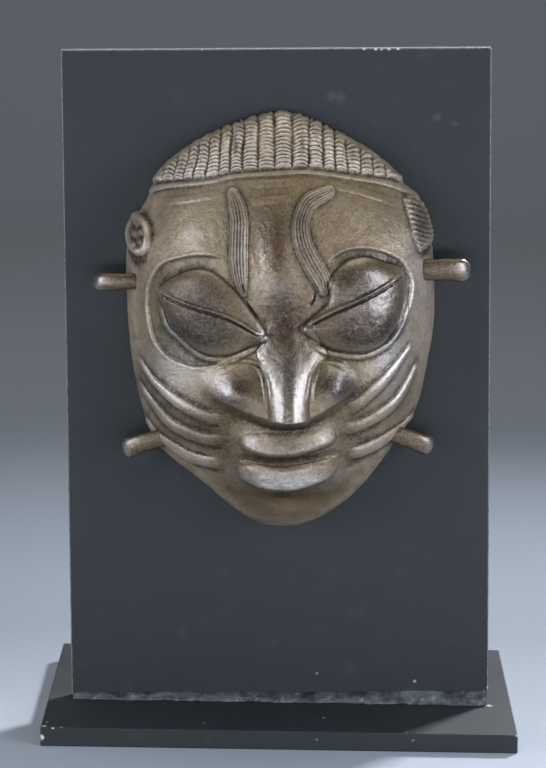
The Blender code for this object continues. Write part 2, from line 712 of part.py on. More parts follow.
def casting_mesh():
    """The hollow casting: front, inside and the flat rim between them."""
    front = front_points()
    back = back_points()
    points = [middle_point(front[0]), *front.reshape(-1, 3), middle_point(back[0]), *back.reshape(-1, 3)]
    front_start = 1
    back_start = 2 + RINGS * SPOKES
    faces = []
    for k in range(SPOKES):
        n = (k + 1) % SPOKES
        faces.append((0, front_start + k, front_start + n))
        faces.append((back_start - 1, back_start + n, back_start + k))
        for ring in range(RINGS - 1):
            a, b = front_start + ring * SPOKES, front_start + (ring + 1) * SPOKES
            faces.append((a + k, b + k, b + n, a + n))
        for ring in range(BACK_RINGS - 1):
            a, b = back_start + ring * SPOKES, back_start + (ring + 1) * SPOKES
            faces.append((a + n, b + n, b + k, a + k))
        a, b = front_start + (RINGS - 1) * SPOKES, back_start + (BACK_RINGS - 1) * SPOKES
        faces.append((a + k, b + k, b + n, a + n))
    mesh = bpy.data.meshes.new("maskette")
    mesh.from_pydata([tuple(p) for p in points], [], faces)
    mesh.validate()
    return mesh


def wall_reach(depth):
    """Share of the way to the edge at which the dome's outside stands at a depth."""
    level = min(depth / FACE_DEPTH, 0.95)
    return (1.0 - level**2) ** (1.0 / DOME_POWER)


def loop_mesh(name, foot, heading, reach, height):
    """A strap bent into a loop that stands out of the edge, its hole running upwards."""
    stations = 15
    corners = 10
    turn = math.radians(heading)
    outward = Vector((math.cos(turn), 0.0, math.sin(turn)))
    upward = Vector((-math.sin(turn), 0.0, math.cos(turn)))
    if upward.z < 0.0:
        upward = -upward
    foot_at = Vector(place(np.array(foot[0]), np.array(foot[1]), np.array(0.0)))
    edge = math.hypot(foot[0] * UNIT_U, foot[1] * UNIT_V)
    middle_depth = LOOP_BACK + LOOP_SPAN / 2
    path = []
    knobs = []
    for step in range(stations):
        swing = math.pi * step / (stations - 1)
        depth = middle_depth + 0.5 * LOOP_SPAN * math.copysign(abs(math.cos(swing)) ** 0.75, math.cos(swing))
        root = -(1.0 - wall_reach(depth)) * edge - 0.6 * WALL
        out = root + (reach - LOOP_SWELL * LOOP_THICK / 2 - root) * math.sin(swing) ** 0.9
        knobs.append(math.sin(swing) ** 4)
        drop = LOOP_DROP * 0.5 * (1.0 - math.cos(swing))
        path.append(foot_at + outward * out + Vector((0.0, -depth, 0.0)) - upward * drop)
    shape = bmesh.new()
    rings = []
    for step, (point, knob) in enumerate(zip(path, knobs)):
        run = path[min(step + 1, stations - 1)] - path[max(step - 1, 0)]
        across = run.cross(upward).normalized()
        ring = []
        for corner in range(corners):
            angle = 2.0 * math.pi * (corner + 0.5) / corners
            wide = math.copysign(abs(math.cos(angle)) ** 0.9, math.cos(angle)) * LOOP_THICK / 2
            wide *= 1.0 + LOOP_SWELL * knob
            tall = math.copysign(abs(math.sin(angle)) ** 0.85, math.sin(angle)) * height / 2
            tall *= 1.0 - 0.4 * LOOP_SWELL * knob
            ring.append(shape.verts.new(point + across * wide + upward * tall))
        rings.append(ring)
    for near, far in zip(rings, rings[1:]):
        for k in range(corners):
            shape.faces.new((near[k], near[(k + 1) % corners], far[(k + 1) % corners], far[k]))
    shape.faces.new(rings[0][::-1])
    shape.faces.new(rings[-1])
    bmesh.ops.recalc_face_normals(shape, faces=shape.faces)
    mesh = bpy.data.meshes.new(name)
    shape.to_mesh(mesh)
    shape.free()
    return mesh


def make_maskette(material):
    """The casting, thinned to its telling facets, with its four loops joined on."""
    item = add_object("maskette", casting_mesh(), material)
    item.matrix_world = BOARD_FRAME
    thin = item.modifiers.new("Facets", "DECIMATE")
    thin.ratio = CASTING_FACES
    thin.use_collapse_triangulate = True
    for name, foot, heading, reach, height in LOOPS:
        strap = bpy.data.objects.new(name, loop_mesh(name, foot, heading, reach, height))
        strap.matrix_world = BOARD_FRAME
        strap.hide_render = True
        strap.display_type = "WIRE"
        bpy.context.scene.collection.objects.link(strap)
        join = item.modifiers.new(name, "BOOLEAN")
        join.operation = "UNION"
        join.object = strap
    item.data.shade_smooth()
    return item


def main():
    """Builds every piece."""
    clear_scene()
    brass = make_material("patinated brass", (0.155, 0.120, 0.072), 0.42, 1.0)
    black = make_material("satin black paint", (0.025, 0.029, 0.032), 0.55, 0.0)
    adhesive = make_material("black adhesive", (0.030, 0.034, 0.037), 0.30, 0.0)
    make_maskette(brass)
    make_backboard(black)
    make_base(black)
    make_glue(adhesive)


main()
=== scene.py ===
"""Look of a hollow cast brass maskette on its black display stand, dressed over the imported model.

Metres, +Z up, the face looking along -Y; the origin is the middle of the foot plate's underside.
The carving is laid out on the face's own plane in millimetres: u runs to the viewer's right, v
runs up and (0, 0) is between the eyes. Heights of the carving are in millimetres too.
"""
from __future__ import annotations

import logging
import math
from dataclasses import dataclass, field
from enum import Enum
from functools import partial
from typing import Any, Callable, NamedTuple

import bpy
import numpy as np
from mathutils import Matrix, Vector

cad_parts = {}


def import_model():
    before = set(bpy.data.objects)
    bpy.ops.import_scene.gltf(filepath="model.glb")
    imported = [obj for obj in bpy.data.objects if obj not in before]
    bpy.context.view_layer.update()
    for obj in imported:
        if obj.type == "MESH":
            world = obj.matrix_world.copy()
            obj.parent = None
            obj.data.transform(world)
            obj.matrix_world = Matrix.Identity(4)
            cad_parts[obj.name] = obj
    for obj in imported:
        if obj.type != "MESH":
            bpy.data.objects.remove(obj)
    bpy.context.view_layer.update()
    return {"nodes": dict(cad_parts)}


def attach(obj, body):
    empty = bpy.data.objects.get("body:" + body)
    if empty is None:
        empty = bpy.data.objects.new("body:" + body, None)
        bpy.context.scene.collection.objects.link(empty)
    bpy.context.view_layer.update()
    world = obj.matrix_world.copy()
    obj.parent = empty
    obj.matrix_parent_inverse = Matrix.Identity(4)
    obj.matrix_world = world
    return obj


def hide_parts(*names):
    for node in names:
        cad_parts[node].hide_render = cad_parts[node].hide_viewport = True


LOG = logging.getLogger("maskette")
MM = 0.001

Array = np.ndarray
Knots = tuple[tuple[float, ...], ...]
Place = tuple[float, float]
Patches = tuple[tuple[Place, Place, float], ...]
Tree = bpy.types.NodeTree
Socket = bpy.types.NodeSocket


# Shape helpers


def ease(x: Array) -> Array:
    """Smooth step from 0 to 1: 3x^2 - 2x^3 between 0 and 1."""
    x = np.clip(x, 0.0, 1.0)
    return x * x * (3.0 - 2.0 * x)


def shoulder(x: Array) -> Array:
    """Quarter round from 0 to 1: the root of x(2 - x)."""
    x = np.clip(x, 0.0, 1.0)
    return np.sqrt(x * (2.0 - x))


def mound(u: Array, v: Array, middle: Place, radii: Place) -> Array:
    """A smooth mound, 1 at its middle: the bell of the distance counted in radii."""
    return np.exp(-(((u - middle[0]) / radii[0]) ** 2) - ((v - middle[1]) / radii[1]) ** 2)


def patched(u: Array, v: Array, patches: Patches) -> Array:
    """Sum of soft patches at each place, each a mound of its own amount."""
    return sum(amount * mound(u, v, middle, radii) for middle, radii, amount in patches)


def unevenness(x: Array, y: Array, size: float, seed: int) -> Array:
    """Smooth seeded unevenness between about -1 and 1.

    Random heights on a square lattice of the given pitch, blended with smooth steps.

    Args:
        x: First coordinate of each point.
        y: Second coordinate of each point.
        size: Pitch of the lattice, in the units of x and y.
        seed: Seed of the lattice's heights.

    Returns:
        One height for each point.
    """
    cells = 256
    lattice = np.random.default_rng(seed).uniform(-1.0, 1.0, (cells, cells))
    a, b = x / size + 97.0, y / size + 61.0
    i, j = np.floor(a).astype(int), np.floor(b).astype(int)
    s, t = ease(a - i), ease(b - j)
    i0, j0, i1, j1 = i % cells, j % cells, (i + 1) % cells, (j + 1) % cells
    low = lattice[i0, j0] * (1.0 - s) + lattice[i1, j0] * s
    high = lattice[i0, j1] * (1.0 - s) + lattice[i1, j1] * s
    return low * (1.0 - t) + high * t


def softened(field_: Array, reach: int, passes: int = 2) -> Array:
    """A grid blurred by running means over rings, which stop, and spokes, which close.

    Args:
        field_: The grid, one row for each ring.
        reach: Half width of the mean.
        passes: How often the mean is taken.

    Returns:
        The blurred grid.
    """
    for _ in range(passes):
        padded = np.pad(field_, ((reach, reach), (0, 0)), mode="edge")
        total = np.cumsum(np.pad(padded, ((1, 0), (0, 0))), axis=0)
        field_ = (total[2 * reach + 1:] - total[: -2 * reach - 1]) / (2 * reach + 1)
        padded = np.pad(field_, ((0, 0), (reach, reach)), mode="wrap")
        total = np.cumsum(np.pad(padded, ((0, 0), (1, 0))), axis=1)
        field_ = (total[:, 2 * reach + 1:] - total[:, : -2 * reach - 1]) / (2 * reach + 1)
    return field_


class Near(NamedTuple):
    """What lies near a curve: the points picked and how each stands to the curve."""

    picked: Array
    distance: Array
    share: Array
    side: Array
    extra: Array


@dataclass(frozen=True)
class Curve:
    """A smooth curve through a few named points of the face's plane."""

    knots: Knots
    closed: bool = False
    steps: int = 8

    def trace(self) -> Array:
        """The curve read off as a fine polyline: a cubic through each pair of knots.

        Returns:
            One row for each point of the polyline.
        """
        knots = np.array(self.knots, float)
        if self.closed:
            knots = np.vstack([knots[-1:], knots, knots[:2]])
        else:
            knots = np.vstack([2 * knots[:1] - knots[1:2], knots, 2 * knots[-1:] - knots[-2:-1]])
        a, b, c, d = (k[:, None, :] for k in (knots[:-3], knots[1:-2], knots[2:-1], knots[3:]))
        t = (np.arange(self.steps) / self.steps)[None, :, None]
        bend = 2 * b + (c - a) * t + (2 * a - 5 * b + 4 * c - d) * t**2
        curve = (0.5 * (bend + (3 * b - a - 3 * c + d) * t**3)).reshape(-1, knots.shape[1])
        tail = curve[:1] if self.closed else knots[-2:-1]
        return np.vstack([curve, tail])

    def level(self, u: Array) -> Array:
        """Height of a left-to-right curve at each u."""
        line = self.trace()
        return np.interp(u, line[:, 0], line[:, 1])

    def near(self, u: Array, v: Array, margin: float) -> Near:
        """Nearest point of the curve for the points within a margin of its box.

        Args:
            u: Across places of the points.
            v: Up places of the points.
            margin: How far outside the curve's box a point may lie.

        Returns:
            The picked points with their distance, share of the length, side and third value.
        """
        line = self.trace()
        low, high = line[:, :2].min(axis=0) - margin, line[:, :2].max(axis=0) + margin
        picked = np.flatnonzero((u > low[0]) & (u < high[0]) & (v > low[1]) & (v < high[1]))
        start, run = line[:-1, :2], np.diff(line[:, :2], axis=0)
        length = np.hypot(run[:, 0], run[:, 1])
        travelled = np.concatenate([[0.0], np.cumsum(length)])
        offset = np.column_stack([u[picked], v[picked]])[:, None, :] - start[None]
        share = np.clip((offset * run).sum(-1) / length**2, 0.0, 1.0)
        gap = offset - share[..., None] * run
        nearest = np.argmin((gap**2).sum(-1), axis=1)
        row = np.arange(len(picked))
        here, at = gap[row, nearest], share[row, nearest]
        along = (travelled[nearest] + at * length[nearest]) / travelled[-1]
        turn = run[nearest, 0] * offset[row, nearest, 1] - run[nearest, 1] * offset[row, nearest, 0]
        extra = np.interp(along, travelled / travelled[-1], line[:, -1])
        return Near(picked, np.hypot(here[:, 0], here[:, 1]), along, np.sign(turn), extra)

    def depth_inside(self, u: Array, v: Array) -> Array:
        """Distance to a closed curve for the points inside it, 0 for the others.

        Args:
            u: Across places of the points.
            v: Up places of the points.

        Returns:
            One distance for each point.
        """
        line = self.trace()
        near = self.near(u, v, 0.5)
        x, y = u[near.picked][:, None], v[near.picked][:, None]
        x0, y0, x1, y1 = line[:-1, 0], line[:-1, 1], line[1:, 0], line[1:, 1]
        rise = np.where(y1 == y0, 1e-9, y1 - y0)
        crossed = ((y0 > y) != (y1 > y)) & (x < x0 + (y - y0) * (x1 - x0) / rise)
        depth = np.zeros_like(u)
        depth[near.picked] = np.where(crossed.sum(axis=1) % 2 == 1, near.distance, 0.0)
        return depth


@dataclass(frozen=True)
class Roll:
    """A rounded bar laid along a curve, or a groove where its height is negative."""

    curve: Curve
    half_width: float
    height: float
    fade: float = 0.12

    def relief(self, u: Array, v: Array) -> Array:
        """Height: a half ellipse across the curve that eases off at both ends.

        Args:
            u: Across places of the points.
            v: Up places of the points.

        Returns:
            One height for each point.
        """
        relief = np.zeros_like(u)
        near = self.curve.near(u, v, self.half_width * 1.1)
        body = shoulder(1.0 - near.distance / self.half_width)
        ends = ease(near.share / self.fade) * ease((1.0 - near.share) / self.fade)
        relief[near.picked] = self.height * body * ends
        return relief


# The face's forms


@dataclass(frozen=True)
class TaperedBar:
    """A raised keloid bar that widens from a pointed start to a rounded end."""

    curve: Curve
    half_width: float
    height: float
    taper: float = 0.62

    def relief(self, u: Array, v: Array) -> Array:
        """Height: a rounded ridge whose width and height grow along the first two thirds.

        Args:
            u: Across places of the points.
            v: Up places of the points.

        Returns:
            One height for each point.
        """
        relief = np.zeros_like(u)
        near = self.curve.near(u, v, self.half_width * 1.1)
        grown = 1.0 - self.taper * (1.0 - ease(near.share / 0.66))
        closing = ease((1.0 - near.share) / 0.2)
        body = shoulder(1.0 - near.distance / (self.half_width * grown)) ** 1.25
        relief[near.picked] = self.height * (0.45 + 0.55 * grown) * body * closing
        relief[near.picked] *= ease(near.share / 0.08)
        return relief


@dataclass(frozen=True)
class Outline:
    """The face's edge and the plain dome inside it."""

    edge: Curve = Curve(
        (
            (-3.0, 88.6), (14.0, 85.2), (37.0, 72.6), (53.0, 59.4), (64.6, 46.0), (68.2, 30.0),
            (69.2, 0.0), (66.5, -21.0), (62.5, -40.0), (55.5, -54.0), (37.0, -79.0),
            (20.0, -93.0), (2.0, -98.8), (-16.0, -94.0), (-38.0, -76.0), (-56.0, -60.5),
            (-63.0, -43.0), (-67.8, -18.0), (-69.6, 15.0), (-68.2, 34.0), (-61.2, 48.8),
            (-50.6, 65.2), (-29.6, 79.4),
        ),
        closed=True,
    )
    depth: float = 48.0
    power: float = 2.6

    def radius(self, angle: Array) -> Array:
        """Distance from the middle of the face to its edge at each angle.

        Args:
            angle: Directions from the middle, in radians.

        Returns:
            One distance for each angle.
        """
        ring = self.edge.trace()[:-1]
        turn = np.arctan2(ring[:, 1], ring[:, 0])
        order = np.argsort(turn)
        reach = np.hypot(ring[:, 0], ring[:, 1])[order]
        return np.interp(angle, turn[order], reach, period=2 * math.pi)

    def share(self, u: Array, v: Array) -> Array:
        """Share of the way from the middle of the face to its edge."""
        return np.hypot(u, v) / self.radius(np.arctan2(v, u))

    def dome(self, u: Array, v: Array) -> Array:
        """Depth of the dome: the root of one less the share to a power."""
        return self.depth * np.sqrt(np.clip(1.0 - self.share(u, v) ** self.power, 0.0, 1.0))


@dataclass(frozen=True)
class Nose:
    """Broad rounded ridge between two triangular wings with an undercut lower edge."""

    centre: float = 3.6
    bridge: float = 6.0
    tip: float = -38.0
    height: float = 13.5
    wing_height: float = 7.0
    bulb: float = 1.5
    undercut: float = 5.5
    blend: float = 1.2
    lower: Curve = Curve(
        (
            (-37.0, -25.6), (-27.0, -31.6), (-19.6, -35.0), (-9.6, -38.6), (-3.0, -40.2),
            (10.0, -40.2), (16.0, -38.0), (22.4, -34.5), (28.6, -31.0), (34.0, -26.0),
        )
    )
    wing_top: Curve = Curve(
        (
            (-37.0, -20.6), (-28.1, -16.8), (-17.7, -14.6), (-9.0, -16.2), (3.4, -20.0),
            (12.6, -15.8), (20.1, -13.4), (28.0, -15.8), (34.0, -22.0),
        )
    )
    half_width: Curve = Curve(
        (
            (-46.0, 7.6), (-38.0, 7.6), (-30.0, 7.6), (-22.0, 8.2), (-15.0, 10.6),
            (-11.0, 11.6), (-6.0, 9.4), (0.0, 7.2), (8.0, 6.0),
        )
    )
    section: Curve = Curve(((0.0, 0.985), (0.34, 0.985), (1.0, 0.75), (1.4, 0.34), (1.9, 0.0), (9.0, 0.0)))
    borders: tuple[Curve, ...] = (
        Curve(
            (
                (-31.0, -21.4), (-23.3, -18.4), (-17.7, -15.1), (-11.6, -15.4), (-8.2, -19.1),
                (-6.4, -25.7), (-5.6, -36.1),
            )
        ),
        Curve(
            (
                (31.0, -20.0), (25.1, -16.0), (19.6, -14.4), (16.2, -16.1), (14.6, -20.8),
                (13.4, -26.9), (12.6, -33.9),
            )
        ),
    )
    border_height: float = 0.55

    def form(self, u: Array, v: Array) -> Array:
        """Height: the smooth larger of a bell-shaped ridge and wings that swell downwards.

        Args:
            u: Across places of the points.
            v: Up places of the points.

        Returns:
            One height for each point.
        """
        low, top = self.lower.level(u), self.wing_top.level(u)
        left, right = self.wing_top.knots[0][0], self.wing_top.knots[-1][0]
        along = np.clip((self.bridge - v) / (self.bridge - self.tip), 0.0, 1.0)
        across = np.abs(u - self.centre) / self.half_width.level(v)
        ridge = self.height * along * self.section.level(across)
        down = np.clip((top - v) / (top - low), 0.0, 1.0)
        reach = np.clip((u - left) / 24.0, 0.0, 1.0) * np.clip((right - u) / 18.0, 0.0, 1.0)
        reach = np.sin(0.5 * math.pi * reach) ** 1.2
        swell = 0.16 * ease(down / 0.08) + 0.84 * np.sin(0.5 * math.pi * down**1.2)
        wing = self.wing_height * reach * swell
        wing += self.bulb * mound(u, v, (-21.5, -29.0), (8.0, 6.0))
        wing += self.bulb * mound(u, v, (26.0, -27.2), (6.5, 5.5))
        whole = 0.5 * (ridge + wing + np.hypot(ridge - wing, self.blend)) - 0.5 * self.blend
        for border in self.borders:
            whole += Roll(border, 1.5, self.border_height, fade=0.2).relief(u, v)
        under = np.clip(1.0 - (low - v) / self.undercut, 0.0, 1.0)
        return np.maximum(whole, 0.0) * under**1.6


@dataclass(frozen=True)
class Mouth:
    """Two full lips on a squarish raised field, with a dark gap between them."""

    upper: Curve = Curve(
        (
            (-18.6, -50.6), (-14.5, -47.2), (2.0, -46.0), (18.5, -45.2), (24.2, -48.0),
            (23.8, -52.0), (15.5, -55.8), (2.0, -58.2), (-8.0, -57.8), (-16.8, -55.0),
        ),
        closed=True,
    )
    lower: Curve = Curve(
        (
            (-17.8, -63.6), (-9.0, -62.4), (2.0, -62.8), (12.0, -62.2), (23.4, -60.4),
            (25.2, -64.6), (21.0, -70.4), (10.0, -74.2), (1.2, -75.4), (-8.0, -74.6),
            (-16.4, -71.6), (-19.4, -67.0),
        ),
        closed=True,
    )
    gap: Curve = Curve(((-20.0, -58.8), (2.0, -60.6), (26.0, -56.8)))
    height: float = 4.9
    lip_edge: float = 2.8
    lower_share: float = 1.25
    wrap: float = 0.42
    lip_reach: float = 13.0
    gap_depth: float = 1.2
    field_height: float = 3.4
    field_middle: Place = (2.7, -60.0)
    field_reach: Place = (24.6, 19.0)

    def lip(self, u: Array, v: Array, edge: Curve, tilt: float) -> Array:
        """Height of one lip: a round-edged slab that swells towards its lower edge.

        Args:
            u: Across places of the points.
            v: Up places of the points.
            edge: The lip's closed outline.
            tilt: How far it falls off upwards.

        Returns:
            One height for each point.
        """
        low = min(knot[1] for knot in edge.knots)
        swell = 1.0 - tilt * np.clip((v - low) / self.lip_reach, 0.0, 1.0)
        swell *= 1.0 - self.wrap * ((u - self.field_middle[0]) / self.field_reach[0]) ** 2
        return self.height * shoulder(edge.depth_inside(u, v) / self.lip_edge) * swell

    def form(self, u: Array, v: Array) -> Array:
        """Height of the raised field, the lips and the gap between them.

        Args:
            u: Across places of the points.
            v: Up places of the points.

        Returns:
            One height for each point.
        """
        across = np.abs((u - self.field_middle[0]) / self.field_reach[0])
        up = np.abs((v - self.field_middle[1]) / self.field_reach[1])
        reach = (across**3 + up**3) ** (1.0 / 3.0)
        raised = self.field_height * ease((1.22 - reach) / 0.56) * (1.0 - self.wrap * across**2)
        raised += self.lip(u, v, self.upper, 1.0) + self.lower_share * self.lip(u, v, self.lower, 0.9)
        return raised + Roll(self.gap, 2.0, -self.gap_depth).relief(u, v)


@dataclass(frozen=True)
class Eye:
    """One closed, bulging eye in its socket."""

    socket: Curve
    lids: Curve
    lower_rim: Curve
    slit: Curve
    height: float = 4.6
    lid_edge: float = 11.0
    socket_depth: float = 0.9
    ledge_width: float = 11.0
    ring_height: float = 0.12
    rim_height: float = 0.9
    slit_height: float = 0.75
    slit_depth: float = 1.0
    slit_drop: float = 1.0

    def ledge(self, u: Array, v: Array) -> Array:
        """Drop on the eye's side of the socket's edge, which rises again slowly.

        Args:
            u: Across places of the points.
            v: Up places of the points.

        Returns:
            One height for each point.
        """
        relief = np.zeros_like(u)
        near = self.socket.near(u, v, self.ledge_width)
        back = (self.ledge_width - near.distance) / (self.ledge_width - 1.6)
        drop = ease(near.distance / 1.3) * ease(back)
        ends = ease(near.share / 0.1) * ease((1.0 - near.share) / 0.1)
        relief[near.picked] = np.where(near.side > 0.0, -self.socket_depth * drop * ends, 0.0)
        return relief

    def relief(self, u: Array, v: Array) -> Array:
        """Height of the socket's ledge, the two lids, their lower rim and the slit.

        Args:
            u: Across places of the points.
            v: Up places of the points.

        Returns:
            One height for each point.
        """
        relief = self.ledge(u, v) + Roll(self.socket, 1.2, self.ring_height).relief(u, v)
        relief += self.height * shoulder(self.lids.depth_inside(u, v) / self.lid_edge)
        relief += Roll(self.lower_rim, 1.5, self.rim_height, fade=0.15).relief(u, v)
        under = Curve(tuple((across, up - self.slit_drop) for across, up in self.slit.knots))
        relief += Roll(self.slit, 1.0, self.slit_height, fade=0.06).relief(u, v)
        return relief + Roll(under, 0.65, -self.slit_depth, fade=0.1).relief(u, v)


LEFT_EYE = Eye(
    socket=Curve(
        (
            (-21.5, 30.0), (-31.0, 31.9), (-42.0, 30.8), (-53.3, 26.0), (-59.6, 13.0),
            (-58.2, -4.5), (-51.2, -14.4), (-38.0, -18.6), (-24.4, -16.0), (-12.0, -13.8),
        )
    ),
    lids=Curve(
        (
            (-53.4, 15.4), (-44.4, 22.9), (-34.0, 25.6), (-26.2, 22.3), (-15.8, 12.2),
            (-5.2, -3.6), (-14.2, -8.6), (-24.3, -12.5), (-34.5, -11.2), (-44.7, -3.3),
            (-51.3, 7.6),
        ),
        closed=True,
    ),
    lower_rim=Curve(
        (
            (-54.6, 13.0), (-50.4, 0.0), (-45.0, -5.2), (-35.0, -13.0), (-24.3, -14.3),
            (-13.4, -10.2), (-6.0, -5.4),
        )
    ),
    slit=Curve(((-53.2, 16.0), (-44.5, 12.4), (-36.2, 9.6), (-25.3, 6.6), (-17.0, 2.8), (-7.6, -3.0))),
)

RIGHT_EYE = Eye(
    socket=Curve(
        (
            (45.0, -11.5), (53.0, -2.3), (58.0, 8.0), (58.8, 18.0), (53.2, 27.9),
            (41.4, 33.7), (29.3, 33.8), (19.0, 28.0),
        )
    ),
    lids=Curve(
        (
            (21.4, 20.7), (28.7, 28.5), (38.0, 30.4), (46.5, 27.4), (54.8, 22.6),
            (53.9, 6.0), (48.0, -5.8), (37.3, -11.6), (25.1, -10.4), (14.4, -5.4),
            (9.6, 0.6), (20.5, 11.0),
        ),
        closed=True,
    ),
    lower_rim=Curve(
        (
            (11.2, -2.8), (18.2, -9.8), (26.0, -12.3), (37.6, -13.3), (48.8, -7.6),
            (55.0, 4.6), (55.6, 17.0),
        )
    ),
    slit=Curve(((11.0, 1.4), (24.1, 8.1), (36.3, 13.5), (47.0, 19.2), (54.2, 23.1))),
)


@dataclass(frozen=True)
class StriatedBand:
    """A raised forehead band, combed lengthwise; each knot's third value is its half width."""

    curve: Curve
    height: float = 1.5
    grooves: int = 5
    groove_depth: float = 0.55

    def relief(self, u: Array, v: Array) -> Array:
        """Height: a round-edged strip less evenly spaced cosine grooves along it.

        Args:
            u: Across places of the points.
            v: Up places of the points.

        Returns:
            One height for each point.
        """
        relief = np.zeros_like(u)
        widest = max(knot[2] for knot in self.curve.knots)
        near = self.curve.near(u, v, widest * 1.1)
        offset = near.side * near.distance / near.extra
        body = shoulder((1.0 - np.abs(offset)) / 0.45)
        comb = 0.5 + 0.5 * np.cos(math.pi * (self.grooves + 1) * (offset + 1.0))
        strip = self.height * body - self.groove_depth * (1.0 - comb) * ease((1.0 - np.abs(offset)) / 0.1)
        relief[near.picked] = np.where(np.abs(offset) < 1.0, strip, 0.0)
        return relief


LEFT_BAND = StriatedBand(
    Curve(
        (
            (-20.4, 57.6, 2.8), (-18.7, 52.9, 3.8), (-17.7, 47.0, 3.9), (-17.9, 38.5, 4.0),
            (-18.1, 30.0, 4.1), (-17.3, 22.0, 3.3), (-15.8, 14.8, 1.2),
        )
    )
)
RIGHT_BAND = StriatedBand(
    Curve(
        (
            (21.5, 58.2, 2.8), (13.1, 54.3, 3.9), (9.8, 48.4, 3.8), (9.1, 42.5, 3.9),
            (10.8, 34.8, 4.3), (14.6, 27.2, 4.5), (18.5, 20.3, 4.1), (19.2, 15.5, 2.0),
        )
    )
)


@dataclass(frozen=True)
class Hair:
    """Upright braids of stacked rings between the hairline's cord and the crown."""

    hairline: Curve = Curve(
        (
            (-66.0, 49.6), (-52.0, 58.4), (-31.0, 62.1), (-18.6, 65.0), (2.0, 66.6),
            (14.0, 66.4), (32.0, 63.3), (49.0, 58.9), (68.0, 48.6),
        )
    )
    feet: tuple[float, ...] = (
        -57.0, -50.0, -45.0, -40.5, -35.8, -29.6, -24.0, -19.0, -12.8, -6.0, 1.3, 9.0,
        15.8, 22.0, 26.7, 32.4, 38.7, 44.4, 50.0, 57.0,
    )
    height: float = 2.1
    cord_height: float = 0.9
    start: float = 1.5
    ring_pitch: float = 1.42
    ring_depth: float = 0.85
    border_height: float = 0.7
    lean: Curve = Curve(
        ((-62.0, 0.72), (-50.0, 0.62), (-43.0, 0.34), (-33.0, 0.18), (-22.0, 0.04), (0.0, 0.0),
         (26.0, -0.02), (36.0, -0.14), (45.0, -0.36), (62.0, -0.60))
    )

    def relief(self, u: Array, v: Array, outline: Outline) -> Array:
        """Height of the braids, their stacked rings, the hairline's cord and the edge's border.

        Each braid is a rounded column between two feet; its rings are short arcs whose crests
        repeat at the ring pitch up the column.

        Args:
            u: Across places of the points.
            v: Up places of the points.
            outline: The face's edge, at which the braids flatten.

        Returns:
            One height for each point.
        """
        above = v - self.hairline.level(u)
        raised = np.maximum(above, 0.0)
        foot = u - self.lean.level(u) * raised
        feet = np.array(self.feet)
        edges = np.concatenate([[feet[0] - 4.0], 0.5 * (feet[1:] + feet[:-1]), [feet[-1] + 4.0]])
        wander = 0.55 * unevenness(u, v, 9.0, 11) + 0.25 * unevenness(u, v, 3.4, 12)
        column = np.interp(foot + wander, edges, np.arange(len(edges), dtype=float))
        number = np.floor(column).astype(int)
        across = 2.0 * (column - number) - 1.0
        body = np.clip(1.0 - np.abs(across) ** 4.0, 0.0, 1.0) ** 0.6
        to_rim = 1.0 - outline.share(u, v)
        rise = ease((above - 0.5) / 0.9)
        sides = ease((np.abs(u) - 22.0) / 10.0)
        rim_fade = ease(to_rim / 0.024) * sides + 1.0 - sides
        shift = np.random.default_rng(5).uniform(0.0, 1.0, 64)[number % 64]
        turns = above / self.ring_pitch + shift + 0.5 * across**2 + 0.45 * unevenness(u, v, 6.0, 13)
        rings = (0.5 - 0.5 * np.cos(2.0 * math.pi * turns)) ** 2.0
        strength = 0.85 + 0.4 * unevenness(u, v, 5.0, 14)
        strength *= 1.0 - 0.75 * mound(u, v, (-9.0, 77.0), (4.0, 5.0))
        groove = 0.8 + 0.3 * unevenness(u, v, 7.0, 15)
        solid = self.height * (1.0 - groove * rim_fade * (1.0 - body))
        cut = self.ring_depth * strength * rings * np.clip(1.35 * body - 0.35, 0.0, 1.0) * rim_fade
        border = self.border_height * np.exp(-(((to_rim - 0.018) / 0.012) ** 2))
        border *= ease((np.abs(u) - 26.0) / 12.0)
        cord = Roll(self.hairline, 0.95, self.cord_height, fade=0.02).relief(u, v)
        braided = ease((above - self.start) / 0.9)
        plain = 0.3 * self.height
        return rise * (braided * (solid - cut + border) + (1.0 - braided) * plain) + cord


@dataclass(frozen=True)
class BeadedTuft:
    """The left temple's tuft: a raised oval ring with a few beads inside it."""

    middle: Place = (-62.5, 37.0)
    half: Place = (5.8, 8.8)
    height: float = 1.5
    ring_height: float = 1.3
    beads: tuple[Place, ...] = (
        (-62.6, 41.2), (-60.2, 38.0), (-63.4, 37.0), (-60.8, 34.2), (-63.8, 33.0), (-62.0, 30.6),
    )

    def relief(self, u: Array, v: Array) -> Array:
        """Height of the low boss, the ring near its edge and the beads.

        Args:
            u: Across places of the points.
            v: Up places of the points.

        Returns:
            One height for each point.
        """
        x, y = (u - self.middle[0]) / self.half[0], (v - self.middle[1]) / self.half[1]
        reach = np.hypot(x, y)
        relief = self.height * shoulder((1.0 - reach) / 0.35)
        relief += self.ring_height * np.exp(-(((reach - 0.78) / 0.17) ** 2))
        for bead in self.beads:
            relief += 0.9 * mound(u, v, bead, (1.2, 1.2))
        return relief


